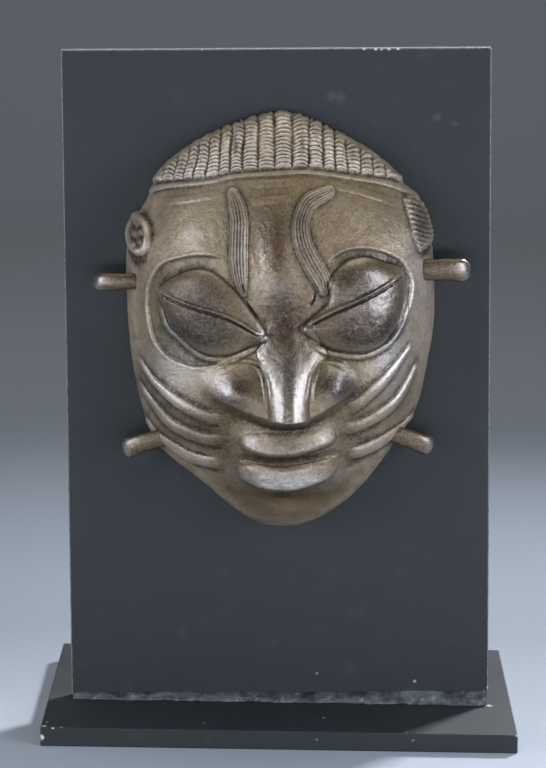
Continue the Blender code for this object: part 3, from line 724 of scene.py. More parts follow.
@dataclass(frozen=True)
class RidgedTuft:
    """The right temple's tuft: a long patch of short slanting ridges."""

    spine: Curve = Curve(((58.6, 55.0), (61.0, 46.0), (63.2, 38.0), (66.4, 30.0)))
    half_width: float = 4.6
    height: float = 1.5
    ridge_pitch: float = 1.9
    ridge_depth: float = 0.65

    def relief(self, u: Array, v: Array) -> Array:
        """Height: a round-edged strip cut across by slanting cosine grooves.

        Args:
            u: Across places of the points.
            v: Up places of the points.

        Returns:
            One height for each point.
        """
        relief = np.zeros_like(u)
        near = self.spine.near(u, v, self.half_width * 1.1)
        body = shoulder((1.0 - near.distance / self.half_width) / 0.4)
        ends = ease(near.share / 0.12) * ease((1.0 - near.share) / 0.12)
        slant = (v[near.picked] + 0.5 * u[near.picked]) / self.ridge_pitch
        grooves = 0.5 - 0.5 * np.cos(2.0 * math.pi * slant)
        relief[near.picked] = (self.height - self.ridge_depth * grooves) * body * ends
        return relief


@dataclass(frozen=True)
class Face:
    """The whole front of the casting as a function of the place on its plane."""

    outline: Outline = Outline()
    nose: Nose = Nose()
    mouth: Mouth = Mouth()
    eyes: tuple[Eye, ...] = (LEFT_EYE, RIGHT_EYE)
    bands: tuple[StriatedBand, ...] = (LEFT_BAND, RIGHT_BAND)
    hair: Hair = Hair()
    left_tuft: BeadedTuft = BeadedTuft()
    right_tuft: RidgedTuft = RidgedTuft()
    cheek_bars: tuple[Curve, ...] = (
        Curve(((58.6, -9.6), (48.4, -22.3), (38.1, -31.9), (28.8, -39.1))),
        Curve(((61.5, -19.0), (53.0, -34.0), (44.9, -40.8), (35.9, -45.0), (26.8, -47.6))),
        Curve(((60.0, -44.6), (52.9, -50.4), (42.4, -56.4), (29.0, -59.8))),
        Curve(
            (
                (-64.2, -16.4), (-57.4, -26.0), (-47.9, -33.4), (-41.5, -37.0), (-31.9, -40.8),
                (-24.5, -43.0),
            )
        ),
        Curve(
            (
                (-64.4, -28.0), (-58.6, -36.2), (-49.8, -45.2), (-41.8, -49.2), (-33.0, -51.6),
                (-24.0, -52.6),
            )
        ),
        Curve(((-61.6, -45.4), (-55.5, -52.9), (-42.2, -61.2), (-33.1, -63.3), (-25.7, -63.9))),
    )
    bar_half_width: float = 3.0
    bar_height: float = 1.6
    creases: tuple[Curve, ...] = (
        Curve(((-16.3, 19.8), (-15.0, 14.4))),
        Curve(((-15.3, 12.8), (-13.1, 8.9), (-9.0, 3.6))),
        Curve(((15.6, 16.6), (15.0, 12.4), (12.4, 9.4))),
    )
    crease_depth: float = 0.9
    brow_lines: tuple[Curve, ...] = (
        Curve(((-58.0, 51.3), (-31.0, 56.7), (-23.5, 57.4))),
        Curve(((-17.0, 61.6), (8.4, 62.8))),
        Curve(((10.8, 61.9), (33.4, 58.5), (60.0, 48.0))),
        Curve(((-13.3, 54.3), (8.4, 56.5))),
    )
    brow_line_height: float = 0.3
    jaw_swell: float = 1.8
    chin_height: float = 2.0
    brow_height: float = 3.2

    def form(self, u: Array, v: Array) -> Array:
        """Depth of the large forms in front of the board: dome, swellings, nose and mouth.

        Args:
            u: Across places of the points.
            v: Up places of the points.

        Returns:
            One height for each point.
        """
        depth = self.outline.dome(u, v)
        swell = self.jaw_swell * mound(u, v, (2.0, -60.0), (34.0, 30.0))
        swell += self.chin_height * mound(u, v, (2.0, -86.0), (15.0, 9.0))
        swell += self.brow_height * mound(u, v, (-0.5, 24.0), (9.5, 26.0))
        fade = ease(depth / (0.35 * self.outline.depth))
        return depth + fade * (swell + self.nose.form(u, v) + self.mouth.form(u, v))

    def relief(self, u: Array, v: Array) -> Array:
        """Height of the carving along the surface's own normal.

        Args:
            u: Across places of the points.
            v: Up places of the points.

        Returns:
            One height for each point.
        """
        relief = self.hair.relief(u, v, self.outline)
        bars = [TaperedBar(bar, self.bar_half_width, self.bar_height) for bar in self.cheek_bars]
        creases = [Roll(crease, 0.65, -self.crease_depth, fade=0.3) for crease in self.creases]
        lines = [Roll(line, 1.5, self.brow_line_height, 0.35) for line in self.brow_lines]
        for form in (*self.eyes, *self.bands, *bars, *creases, *lines):
            relief += form.relief(u, v)
        relief += self.left_tuft.relief(u, v) + self.right_tuft.relief(u, v)
        rough = 1.0 + 1.4 * ease((v - self.hair.hairline.level(u)) / 2.0)
        relief += 0.10 * unevenness(u, v, 8.0, 21) + 0.08 * rough * unevenness(u, v, 2.6, 22)
        return relief + 0.05 * rough * unevenness(u, v, 0.9, 23)


# Materials


def linear(hex_colour: str) -> tuple[float, float, float, float]:
    """An sRGB hex colour as linear values with a full alpha.

    Args:
        hex_colour: The colour, as # and six digits.

    Returns:
        Red, green, blue and alpha.
    """
    values = [int(hex_colour[k:k + 2], 16) / 255.0 for k in (1, 3, 5)]
    parts = [c / 12.92 if c <= 0.04045 else ((c + 0.055) / 1.055) ** 2.4 for c in values]
    return (*parts, 1.0)


class Kind(Enum):
    """The nodes in use: type, inputs in the order they are given, output and settings."""

    SHADER = ("BsdfPrincipled", (), 0, {})
    OUTPUT = ("OutputMaterial", ("Surface",), None, {})
    PLACE = ("TexCoord", (), "Object", {})
    FACING = ("TexCoord", (), "Normal", {})
    TONES = ("Attribute", (), "Color", {"attribute_name": "tones"})
    WEAR = ("Attribute", (), "Color", {"attribute_name": "wear"})
    SPLIT = ("SeparateColor", (0,), 0, {})
    DEPTH = ("SeparateXYZ", (0,), 1, {})
    UPWARD = ("SeparateXYZ", (0,), 2, {})
    NOISE = ("TexNoise", ("Vector", "Scale", "Detail"), 0, {"Roughness": 0.6})
    SPAN = ("MapRange", ("Value", "From Min", "From Max", "To Min", "To Max"), 0, {})
    TIMES = ("Math", (0, 1), 0, {"operation": "MULTIPLY"})
    PLUS = ("Math", (0, 1), 0, {"operation": "ADD"})
    LESS = ("Math", (0, 1), 0, {"operation": "SUBTRACT"})
    LARGER = ("Math", (0, 1), 0, {"operation": "MAXIMUM"})
    UNSIGNED = ("Math", (0,), 0, {"operation": "ABSOLUTE"})
    APART = ("VectorMath", (0, 1), "Value", {"operation": "DISTANCE"})
    ALONG = ("VectorMath", (0, 1), "Value", {"operation": "DOT_PRODUCT"})
    BLEND = ("Mix", (0, 6, 7), 2, {"data_type": "RGBA", "clamp_factor": True})
    BUMP = ("Bump", ("Strength", "Distance", "Height"), 0, {})


def add_node(tree: Tree, kind: Kind, *inputs: Any) -> Socket | None:
    """Adds one node with its settings and links.

    Args:
        tree: The node tree that gets the node.
        kind: Which node, with its settings.
        inputs: A socket or value for each of the kind's inputs in order, or one dictionary by name.

    Returns:
        The kind's output, or nothing where the node has none.
    """
    name, keys, output, settings = kind.value
    node = tree.nodes.new(f"ShaderNode{name}")
    for key, value in settings.items():
        if hasattr(node, key):
            setattr(node, key, value)
        else:
            node.inputs[key].default_value = value
    named = inputs[0] if inputs and isinstance(inputs[0], dict) else dict(zip(keys, inputs))
    for key, value in named.items():
        if isinstance(value, Socket):
            tree.links.new(value, node.inputs[key])
        else:
            node.inputs[key].default_value = value
    return node.outputs[output] if node.outputs else None


def new_material(name: str) -> tuple[bpy.types.Material, Callable]:
    """Starts a material whose tree is empty.

    Args:
        name: The material's name.

    Returns:
        The material, and add_node bound to its tree.
    """
    material = bpy.data.materials.new(name)
    material.use_nodes = True
    material.node_tree.nodes.clear()
    return material, partial(add_node, material.node_tree)


def per_metre(size_mm: float) -> float:
    """Scale of a noise whose grains are about size_mm across."""
    return 1.0 / (size_mm * MM)


def layered(add: Callable, ground: str, layers: tuple[tuple[Socket, str], ...]) -> Socket:
    """Colours laid one over the other, each by its own share.

    Args:
        add: add_node bound to the material's tree.
        ground: Hex colour under them all.
        layers: Share and hex colour of each layer, the lowest first.

    Returns:
        The mixed colour.
    """
    colour = linear(ground)
    for share, over in layers:
        colour = add(Kind.BLEND, share, colour, linear(over))
    return colour


@dataclass(frozen=True)
class PatinatedBrass:
    """Old cast brass: matt brown and olive patina, dusty and dark in the hollows, the darkness partly painted
    shade, waxed bright on top.

    Handling and wax give the proud forms soft whitish highlights over a dark brown metal, while the hair, the
    sides and the hollows stay matt and tan. Crests and a few patches are lightened with rubbing and painted
    highlights, and hollows, undersides and a few patches are darkened with grime and painted shade.
    """

    name: str = "old_cast_brass"
    olive: str = "#786747"
    umber: str = "#6A472B"
    verdigris: str = "#454931"
    dust: str = "#AE9B81"
    soot: str = "#130E09"
    grime_and_shade: str = "#281C0D"
    rubbed_and_highlight: str = "#C2BEB8"
    polished: str = "#4C4337"
    cloud_mm: float = 20.0
    mottle_mm: float = 5.0
    lump_mm: float = 2.6
    # Grain, flecks and pits are about a millimetre across, because finer ones wouldn't show.
    grain_mm: float = 1.3
    fleck_mm: float = 0.9
    pit_mm: float = 0.8
    swing_mm: float = 0.4
    matt: float = 0.43
    waxed: float = 0.28
    coat_roughness: float = 0.24
    coat_ior: float = 1.6

    def build(self) -> bpy.types.Material:
        """The finished material, which reads the casting's own tone attributes."""
        material, add = new_material(self.name)
        place = add(Kind.PLACE)
        tone = add(Kind.SPLIT, add(Kind.TONES)).node.outputs
        worn_and_lit = add(Kind.SPLIT, add(Kind.WEAR)).node.outputs
        cloud = add(Kind.NOISE, place, per_metre(self.cloud_mm), 5.0)
        mottle = add(Kind.NOISE, place, per_metre(self.mottle_mm), 5.0)
        grain = add(Kind.NOISE, place, per_metre(self.grain_mm), 3.0)
        fleck = add(Kind.NOISE, place, per_metre(self.fleck_mm), 2.0)
        umber = add(Kind.TIMES, tone[2], add(Kind.SPAN, cloud, 0.32, 0.55))
        umber = add(Kind.LARGER, umber, add(Kind.SPAN, mottle, 0.48, 0.64, 0.0, 0.5))
        green = add(Kind.TIMES, tone[1], add(Kind.SPAN, mottle, 0.35, 0.58))
        green = add(Kind.LARGER, green, add(Kind.SPAN, cloud, 0.52, 0.68, 0.0, 0.45))
        # The dust share; on the cheeks, the jaws and the right temple it also stands in for painted sheen and
        # light.
        dust_and_sheen = add(Kind.TIMES, tone[0], add(Kind.SPAN, mottle, 0.3, 0.62, 0.4, 1.0))
        gloss = add(Kind.TIMES, worn_and_lit[2], add(Kind.SPAN, mottle, 0.3, 0.55, 0.6, 1.0))
        # The hollow share darkens the colour towards the hollow colour: grime and painted shade.
        shade_and_grime = add(Kind.TIMES, worn_and_lit[1], add(Kind.SPAN, grain, 0.3, 0.6, 0.6, 1.0))
        layers = (
            (umber, self.umber),
            (green, self.verdigris),
            (dust_and_sheen, self.dust),
            (add(Kind.TIMES, gloss, 0.5), self.polished),
            # The rubbed share lightens crests and patches: rubbing and painted highlights.
            (add(Kind.TIMES, worn_and_lit[0], 0.5), self.rubbed_and_highlight),
            (shade_and_grime, self.grime_and_shade),
            (add(Kind.SPAN, grain, 0.52, 0.68, 0.0, 0.32), self.soot),
            (add(Kind.SPAN, fleck, 0.56, 0.70, 0.0, 0.09), self.rubbed_and_highlight),
        )
        rough = add(Kind.SPAN, gloss, 0.0, 0.7, self.matt, self.waxed)
        rough = add(Kind.PLUS, rough, add(Kind.SPAN, mottle, 0.3, 0.7, -0.05, 0.07))
        pits = add(Kind.NOISE, place, per_metre(self.pit_mm), 3.0)
        lumps = add(Kind.NOISE, place, per_metre(self.lump_mm), 2.0)
        height = add(Kind.PLUS, add(Kind.TIMES, pits, 0.60), add(Kind.TIMES, lumps, 0.42))
        wax = add(Kind.SPAN, gloss, 0.1, 0.8, 0.1, 1.0)
        dulled = add(Kind.SPAN, shade_and_grime, 0.2, 1.0, 1.0, 0.5)
        shader = add(
            Kind.SHADER,
            {
                "Base Color": layered(add, self.olive, layers),
                "Roughness": rough,
                "Metallic": add(Kind.SPAN, gloss, 0.0, 0.7, 0.5, 0.85),
                "Normal": add(Kind.BUMP, 1.0, self.swing_mm * MM, height),
                "Coat Weight": add(Kind.TIMES, wax, dulled),
                "Coat Roughness": self.coat_roughness,
                "Coat IOR": self.coat_ior,
            },
        )
        add(Kind.OUTPUT, shader)
        return material


class Mark(NamedTuple):
    """A round fleck, chip, smudge or painted glint on a painted sheet: place and radius in mm, and strength.
    """

    place: tuple[float, float, float]
    radius: float
    strength: float = 1.0


class WornLitEdge(NamedTuple):
    """A pair of parallel edges lightened as rubbed paint and painted edge highlight: the direction across
    them, their middle and half span in mm.
    """

    across: tuple[float, float, float]
    middle: float
    half: float
    strength: float = 0.3


@dataclass(frozen=True)
class SatinPaint:
    """Satin black paint on a flat sheet: cool, nearly even, with faint dust and small losses, paint lightened
    along given edges as wear and painted highlight, and dust on upward faces that also stands in for light on
    the top faces.
    """

    name: str
    marks: tuple[Mark, ...] = ()
    edges: tuple[WornLitEdge, ...] = ()
    black: str = "#1C2020"
    dust: str = "#5B6065"
    bare_and_highlight: str = "#C4C2BA"
    roughness: float = 0.52
    top_dust_and_light: float = 0.0
    specular: float = 0.36
    cloud_mm: float = 45.0
    smudge_mm: float = 9.0
    ragged_mm: float = 1.4
    # Flecks and orange peel are about a millimetre across, because finer ones wouldn't show.
    fleck_mm: float = 1.0
    peel_mm: float = 0.8
    swing_mm: float = 0.05

    def worn_and_lit(self, add: Callable, place: Socket) -> Socket:
        """Share of bare or dusty ground, painted edge highlight and painted glint: each mark fades out from
        its middle, broken up by noise.

        Args:
            add: add_node bound to the material's tree.
            place: Object coordinates.

        Returns:
            The share, from 0 to 1.
        """
        ragged = add(Kind.NOISE, place, per_metre(self.ragged_mm), 3.0)
        total: Socket | float = 0.0
        for mark in self.marks:
            gap = add(Kind.APART, place, tuple(value * MM for value in mark.place))
            near = add(Kind.SPAN, gap, 0.3 * mark.radius * MM, mark.radius * MM, mark.strength, 0.0)
            total = add(Kind.LARGER, total, near)
        for edge in self.edges:
            across = add(Kind.LESS, add(Kind.ALONG, place, edge.across), edge.middle * MM)
            inner, outer = (edge.half - 0.7) * MM, (edge.half - 0.1) * MM
            near = add(Kind.SPAN, add(Kind.UNSIGNED, across), inner, outer, 0.0, edge.strength)
            total = add(Kind.LARGER, total, near)
        return add(Kind.TIMES, total, add(Kind.SPAN, ragged, 0.38, 0.55, 0.3, 1.0))

    def build(self) -> bpy.types.Material:
        """The finished material."""
        material, add = new_material(self.name)
        place = add(Kind.PLACE)
        upward = add(Kind.UPWARD, add(Kind.FACING))
        cloud = add(Kind.NOISE, place, per_metre(self.cloud_mm), 3.0)
        smudge = add(Kind.NOISE, place, per_metre(self.smudge_mm), 4.0)
        fleck = add(Kind.NOISE, place, per_metre(self.fleck_mm), 2.0)
        peel = add(Kind.NOISE, place, per_metre(self.peel_mm), 2.0)
        layers = (
            (add(Kind.SPAN, smudge, 0.60, 0.8, 0.0, 0.10), self.dust),
            (add(Kind.SPAN, fleck, 0.66, 0.78, 0.0, 0.40), self.dust),
            # Dust on upward faces, which also stands in for light falling on the top faces.
            (add(Kind.SPAN, upward, 0.5, 0.9, 0.0, self.top_dust_and_light), self.dust),
            (self.worn_and_lit(add, place), self.bare_and_highlight),
        )
        low, high = self.roughness - 0.05, self.roughness + 0.07
        shader = add(
            Kind.SHADER,
            {
                "Base Color": layered(add, self.black, layers),
                "Roughness": add(Kind.SPAN, cloud, 0.3, 0.7, low, high),
                "Normal": add(Kind.BUMP, 0.25, self.swing_mm * MM, peel),
                "Specular IOR Level": self.specular,
            },
        )
        add(Kind.OUTPUT, shader)
        return material


@dataclass(frozen=True)
class SetAdhesive:
    """Black adhesive, set glossy and lumpy, with dust caught on it."""

    name: str = "set_black_adhesive"
    black: str = "#1E2224"
    dust: str = "#747779"
    roughness: float = 0.42
    film_mm: float = 9.0
    fleck_mm: float = 2.4
    lump_mm: float = 2.0
    swing_mm: float = 0.2

    def build(self) -> bpy.types.Material:
        """The finished material."""
        material, add = new_material(self.name)
        place = add(Kind.PLACE)
        film = add(Kind.NOISE, place, per_metre(self.film_mm), 3.0)
        fleck = add(Kind.NOISE, place, per_metre(self.fleck_mm), 3.0)
        lumps = add(Kind.NOISE, place, per_metre(self.lump_mm), 2.0)
        layers = (
            (add(Kind.SPAN, film, 0.40, 0.65, 0.0, 0.35), self.dust),
            (add(Kind.SPAN, fleck, 0.62, 0.75, 0.0, 0.8), self.dust),
        )
        shader = add(
            Kind.SHADER,
            {
                "Base Color": layered(add, self.black, layers),
                "Roughness": self.roughness,
                "Normal": add(Kind.BUMP, 0.4, self.swing_mm * MM, lumps),
            },
        )
        add(Kind.OUTPUT, shader)
        return material


@dataclass(frozen=True)
class StudioPaper:
    """Matt background paper: pale blue-grey in front, graded to a darker grey behind as painted light
    fall-off.
    """

    name: str = "studio_paper"
    pale: str = "#90979E"
    middle: str = "#737A82"
    deep: str = "#7C8187"
    near: Place = (-0.10, 0.14)
    far: Place = (0.45, 1.0)
    roughness: float = 0.85

    def build(self) -> bpy.types.Material:
        """The finished material."""
        material, add = new_material(self.name)
        depth = add(Kind.DEPTH, add(Kind.PLACE))
        near, far = add(Kind.SPAN, depth, *self.near), add(Kind.SPAN, depth, *self.far)
        # The grading by depth is painted light fall-off.
        colour = layered(add, self.pale, ((near, self.middle), (far, self.deep)))
        shader = add(Kind.SHADER, {"Base Color": colour, "Roughness": self.roughness})
        add(Kind.OUTPUT, shader)
        return material


# Pieces


def mesh_object(
    name: str, points: Array, faces: list[Array], material: bpy.types.Material
) -> bpy.types.Object:
    """A smooth-shaded object at the origin from a point array and arrays of faces.

    Args:
        name: Name of the object and its mesh.
        points: One row of x, y, z for each point, in metres.
        faces: Arrays of point numbers, one row for each face.
        material: The finish of every face.

    Returns:
        The linked object.
    """
    mesh = bpy.data.meshes.new(name)
    mesh.from_pydata(points.tolist(), [], [row for block in faces for row in block.tolist()])
    mesh.validate()
    mesh.shade_smooth()
    mesh.materials.append(material)
    item = bpy.data.objects.new(name, mesh)
    bpy.context.scene.collection.objects.link(item)
    return item


def ring_faces(rings: int, around: int, start: int = 0, closed: bool = True) -> Array:
    """Quads between consecutive rings of points.

    Args:
        rings: Number of rings.
        around: Points in each ring.
        start: Number of the first point.
        closed: Whether the rings close.

    Returns:
        Four point numbers for each face.
    """
    ring = np.arange(rings - 1)[:, None] * around + start
    here = np.arange(around if closed else around - 1)[None, :]
    after = (here + 1) % around
    quads = np.stack([ring + here, ring + around + here, ring + around + after, ring + after], -1)
    return quads.reshape(-1, 4)


@dataclass(frozen=True)
class BoardFrame:
    """The upright board's place: it leans a little to the left on its bed of adhesive."""

    width: float = 0.192
    thick: float = 0.006
    lean: float = math.radians(1.15)
    lift: float = 0.0010
    face_y: float = -0.024
    base_thick: float = 0.0086

    @property
    def corner(self) -> Vector:
        """The board's lower left front corner."""
        return Vector((-self.width / 2, self.face_y, self.base_thick + self.lift))

    def to_world(self, x: Array, y: Array, z: Array) -> Array:
        """Places given in the board's frame, turned by its lean and moved to its corner.

        Args:
            x: Places along the board.
            y: Places behind its front face.
            z: Places up the board.

        Returns:
            One row of x, y and z for each place.
        """
        cos, sin = math.cos(self.lean), math.sin(self.lean)
        corner = self.corner
        return np.stack([corner.x + x * cos - z * sin, corner.y + y, corner.z + x * sin + z * cos], -1)

    def foot_height(self, x: Array) -> Array:
        """Height of the board's leaning foot above the ground at x."""
        return self.corner.z + (x - self.corner.x) * math.tan(self.lean)


@dataclass(frozen=True)
class Loop:
    """One cast-on suspension loop: where it leaves the edge, its heading, reach and height."""

    foot: Place
    heading: float
    reach: float
    height: float


@dataclass
class Maskette:
    """The hollow brass casting with its four suspension loops."""

    board: BoardFrame
    face: Face = field(default_factory=Face)
    face_up: float = 0.1793
    face_across: float = 0.0015
    gap: float = 0.0003
    wall: float = 3.5
    spokes: int = 1000
    rings: int = 420
    back_rings: int = 24
    kept: float = 0.205
    loops: tuple[Loop, ...] = (
        Loop((-69.6, 16.6), 180.0, 12.2, 8.4),
        Loop((68.8, 21.4), 0.0, 14.0, 11.0),
        Loop((-58.6, -55.8), 196.0, 12.2, 9.6),
        Loop((55.4, -54.6), 340.0, 12.4, 9.4),
    )
    # Dust patches; those on the cheeks, the jaws and the right temple also brighten them as painted sheen and
    # light.
    dust_and_sheen_patches: Patches = (
        ((-42.0, 44.0), (24.0, 14.0), 0.35), ((42.0, 44.0), (22.0, 12.0), 0.25),
        ((-48.0, -28.0), (15.0, 12.0), 0.8), ((48.0, -22.0), (12.0, 14.0), 0.9),
        ((62.0, 22.0), (9.0, 28.0), 1.4), ((-63.0, 5.0), (7.0, 36.0), 0.5),
        ((2.0, -50.0), (22.0, 8.0), 0.4), ((44.0, -52.0), (16.0, 9.0), 0.5),
        ((-62.5, 37.0), (7.0, 11.0), 0.8), ((63.0, 42.0), (6.0, 14.0), 0.4),
        ((-42.0, -66.0), (17.0, 12.0), 1.0), ((40.0, -66.0), (17.0, 12.0), 0.8),
        ((2.0, -88.0), (20.0, 9.0), 0.25),
        ((-20.0, -12.0), (14.0, 5.0), 0.4),
    )
    green_patches: Patches = (
        ((-33.0, -3.0), (20.0, 9.0), 1.0), ((36.0, -2.0), (18.0, 9.0), 0.6),
        ((-52.0, -6.0), (9.0, 14.0), 0.6), ((-24.0, 34.0), (8.0, 10.0), 0.4),
        ((26.0, -50.0), (7.0, 6.0), 0.5), ((30.0, -76.0), (18.0, 9.0), 0.5),
        ((26.0, -22.0), (9.0, 6.0), 0.6), ((-30.0, -74.0), (16.0, 9.0), 0.3),
        ((-14.0, -84.0), (14.0, 7.0), 0.3),
    )
    umber_patches: Patches = (
        ((-2.0, 28.0), (12.0, 26.0), 0.8), ((-38.0, 15.0), (14.0, 9.0), 0.9),
        ((0.0, -88.0), (26.0, 12.0), 0.9), ((32.0, 40.0), (16.0, 8.0), 0.4),
        ((4.0, -62.0), (20.0, 12.0), 0.5), ((-20.0, -26.0), (12.0, 8.0), 0.6),
        ((24.0, 3.0), (16.0, 6.0), 0.5), ((-33.0, -3.0), (15.0, 8.0), 0.6),
        ((37.0, -2.0), (15.0, 8.0), 0.7), ((1.0, 5.0), (10.0, 12.0), 0.9), ((39.0, -62.0), (12.0, 12.0), 0.5),
        ((-44.0, -52.0), (14.0, 14.0), 0.4),
    )
    gloss_patches: Patches = (
        ((-7.0, 34.0), (8.0, 18.0), 1.0), ((0.0, 16.0), (11.0, 10.0), 0.5),
        ((-36.0, 6.0), (20.0, 12.0), 0.2), ((40.0, 12.0), (18.0, 16.0), 0.9),
        ((4.0, -22.0), (10.0, 20.0), 1.0), ((-7.0, -8.0), (6.0, 9.0), 0.8),
        ((12.0, -8.0), (6.0, 9.0), 0.8), ((-22.0, -28.0), (11.0, 8.0), 0.9),
        ((27.0, -27.0), (8.0, 7.0), 0.8), ((2.0, -53.0), (22.0, 6.0), 0.7),
        ((2.0, -70.0), (22.0, 6.0), 0.9), ((-58.0, -27.0), (9.0, 12.0), 0.6),
        ((52.0, -26.0), (9.0, 14.0), 0.6), ((-38.0, 40.0), (16.0, 8.0), 0.2),
    )
    # Lighter patches, mostly painted highlights and sheen, with some rubbing: the lower lip's lower edge, the
    # cheeks, the nose ridge and the right temple.
    highlight_and_rubbed_patches: Patches = (
        ((2.0, -69.5), (19.0, 4.2), 0.95), ((-47.0, -22.0), (13.0, 11.0), 0.50),
        ((50.0, -14.0), (9.0, 14.0), 0.80), ((3.0, -24.0), (8.0, 18.0), 0.35),
        ((62.0, 22.0), (8.0, 24.0), 0.55), ((-34.0, 66.0), (18.0, 10.0), 0.25),
    )
    # Darker patches: grime and patina on the lids, bands, tufts, bridge and upper lip. Painted shade under
    # the nose, in the mouth's gap, under the lower lip and a bar, on the nose wings' inner panels and on the
    # lower lids. A painted dark reflection runs along the nose ridge's middle.
    shade_and_grime_patches: Patches = (
        ((-36.0, 12.0), (16.0, 10.0), 0.90), ((-32.0, -2.0), (14.0, 7.0), 1.35),
        ((36.0, -1.0), (15.0, 8.0), 1.55), ((34.0, 18.0), (15.0, 9.0), 0.95),
        ((9.5, 77.0), (0.9, 5.0), 0.9), ((-18.6, 76.0), (0.9, 4.0), 0.9),
        ((33.0, 77.5), (1.5, 1.5), 0.9), ((34.5, 82.0), (1.6, 1.0), 0.7),
        ((62.0, 43.0), (6.0, 14.0), 0.75), ((-62.5, 38.0), (5.0, 8.0), 0.45),
        ((-31.0, -52.0), (12.0, 12.0), 0.35), ((35.0, -53.0), (12.0, 12.0), 0.35),
        ((25.0, -26.0), (9.0, 6.0), 1.30), ((-17.0, -29.0), (9.0, 7.0), 0.70),
        ((-18.0, 40.0), (4.5, 18.0), 0.30), ((11.0, 40.0), (5.5, 16.0), 0.30),
        ((3.6, -43.0), (24.0, 3.0), 0.50), ((-46.0, -48.0), (12.0, 10.0), 0.20),
        ((3.0, 30.0), (7.0, 24.0), 0.40), ((2.0, -59.5), (20.0, 2.5), 0.55),
        ((1.0, 5.0), (10.0, 12.0), 0.80), ((3.5, -20.0), (2.4, 20.0), 0.60),
        ((-34.0, -45.0), (9.0, 8.0), 0.20),
        ((2.0, -77.5), (22.0, 2.0), 0.40), ((2.0, -53.0), (22.0, 5.0), 0.45),
        ((-45.0, -38.0), (17.0, 3.0), 0.20),
        ((-38.0, 42.0), (22.0, 10.0), 0.12), ((40.0, 42.0), (20.0, 10.0), 0.22),
    )
    loop_thick: float = 3.8
    loop_back: float = 6.5
    loop_span: float = 13.0
    loop_drop: float = 2.2

    def place(self, u: Array, v: Array, depth: Array) -> Array:
        """Places on the face, in millimetres, as places in the board's frame, in metres."""
        x = self.board.width / 2 + self.face_across + u * MM
        return np.stack([x, -self.gap - depth * MM, self.face_up + v * MM], axis=-1)

    def grid(self, rings: int) -> tuple[Array, Array]:
        """Spokes crowded towards the hair, crossed by rings evenly spaced along the dome.

        Args:
            rings: Number of rings between the middle and the edge.

        Returns:
            The u and v of every crossing, one row for each ring.
        """
        fine = np.linspace(0.0, 2.0 * math.pi, 2000)
        crowding = 1.0 + 1.3 * ease((np.sin(fine) - 0.35) / 0.35)
        turned = np.concatenate([[0.0], np.cumsum(0.5 * (crowding[1:] + crowding[:-1]))])
        angle = np.interp(np.arange(self.spokes) / self.spokes * turned[-1], turned, fine)
        swing = np.linspace(0.0, math.pi / 2, 400)
        share = np.sin(swing) ** (2.0 / self.face.outline.power)
        depth = self.face.outline.depth
        run = np.hypot(np.diff(share) * 94.0, np.diff(depth * np.cos(swing)))
        run *= 1.0 + 0.9 * ease((share[1:] - 0.62) / 0.08)
        length = np.concatenate([[0.0], np.cumsum(run)])
        shares = np.interp(np.linspace(0.0, length[-1], rings + 1), length, share)[1:]
        radius = self.face.outline.radius(angle)
        return shares[:, None] * radius * np.cos(angle), shares[:, None] * radius * np.sin(angle)

    def normals(self, points: Array) -> Array:
        """Outward normals of a grid of rings, the last ring's laid into the board's plane.

        Args:
            points: Points of the rings, one row for each ring.

        Returns:
            One normal for each point.
        """
        along = np.gradient(points, axis=0)
        around = np.roll(points, -1, axis=1) - np.roll(points, 1, axis=1)
        normal = np.cross(along, around)
        normal /= np.linalg.norm(normal, axis=-1, keepdims=True)
        normal *= np.where(normal[..., 1:2] > 0.0, -1.0, 1.0)
        normal[-1, :, 1] = 0.0
        normal[-1] /= np.linalg.norm(normal[-1], axis=-1, keepdims=True)
        return normal

    def front(self) -> tuple[Array, Array, Array]:
        """The carved front with its colour fields.

        Returns:
            Points in the board's frame, the tones, and the rubbing, hollows and gloss with their painted
            highlights and shade, one row for each ring.
        """
        u, v = self.grid(self.rings)
        flat_u, flat_v = u.ravel(), v.ravel()
        depth = self.face.form(flat_u, flat_v).reshape(u.shape)
        depth[-1] = 0.0
        points = self.place(u, v, depth)
        relief = self.face.relief(flat_u, flat_v).reshape(u.shape)
        points = points + self.normals(points) * (relief * MM)[..., None]
        return points, self.tones(u, v), self.wear(depth + relief, relief, u, v)

    def tones(self, u: Array, v: Array) -> Array:
        """Shares of dust, verdigris and umber at each place, each a few soft patches; on the cheeks, the jaws
        and the right temple the dust also stands in for painted sheen and light.

        Args:
            u: Across places of the points.
            v: Up places of the points.

        Returns:
            Three shares for each place.
        """
        share = self.face.outline.share(u, v)
        above = v - self.face.hair.hairline.level(u)
        dust = 0.8 * ease((above - 1.0) / 3.0) + 0.8 * ease((share - 0.88) / 0.09)
        dust += patched(u, v, self.dust_and_sheen_patches)
        green, umber = patched(u, v, self.green_patches), patched(u, v, self.umber_patches)
        return np.clip(np.stack([dust, green, umber], -1), 0.0, 1.0)

    def wear(self, height: Array, relief: Array, u: Array, v: Array) -> Array:
        """Rubbed edges and dark hollows, from the height above its own soft mean, and the gloss: the rubbing
        is partly painted highlight on crests, the hollows partly painted shade.

        Args:
            height: Height over the board, in mm.
            relief: Height of the carving, in mm.
            u: Across places of the points.
            v: Up places of the points.

        Returns:
            Rubbing with painted highlight, hollows with painted shade, and gloss of each place.
        """
        fine = relief - softened(relief, 5)
        broad = height - softened(height, 14)
        hair = ease(v - self.face.hair.hairline.level(u) - 1.0)
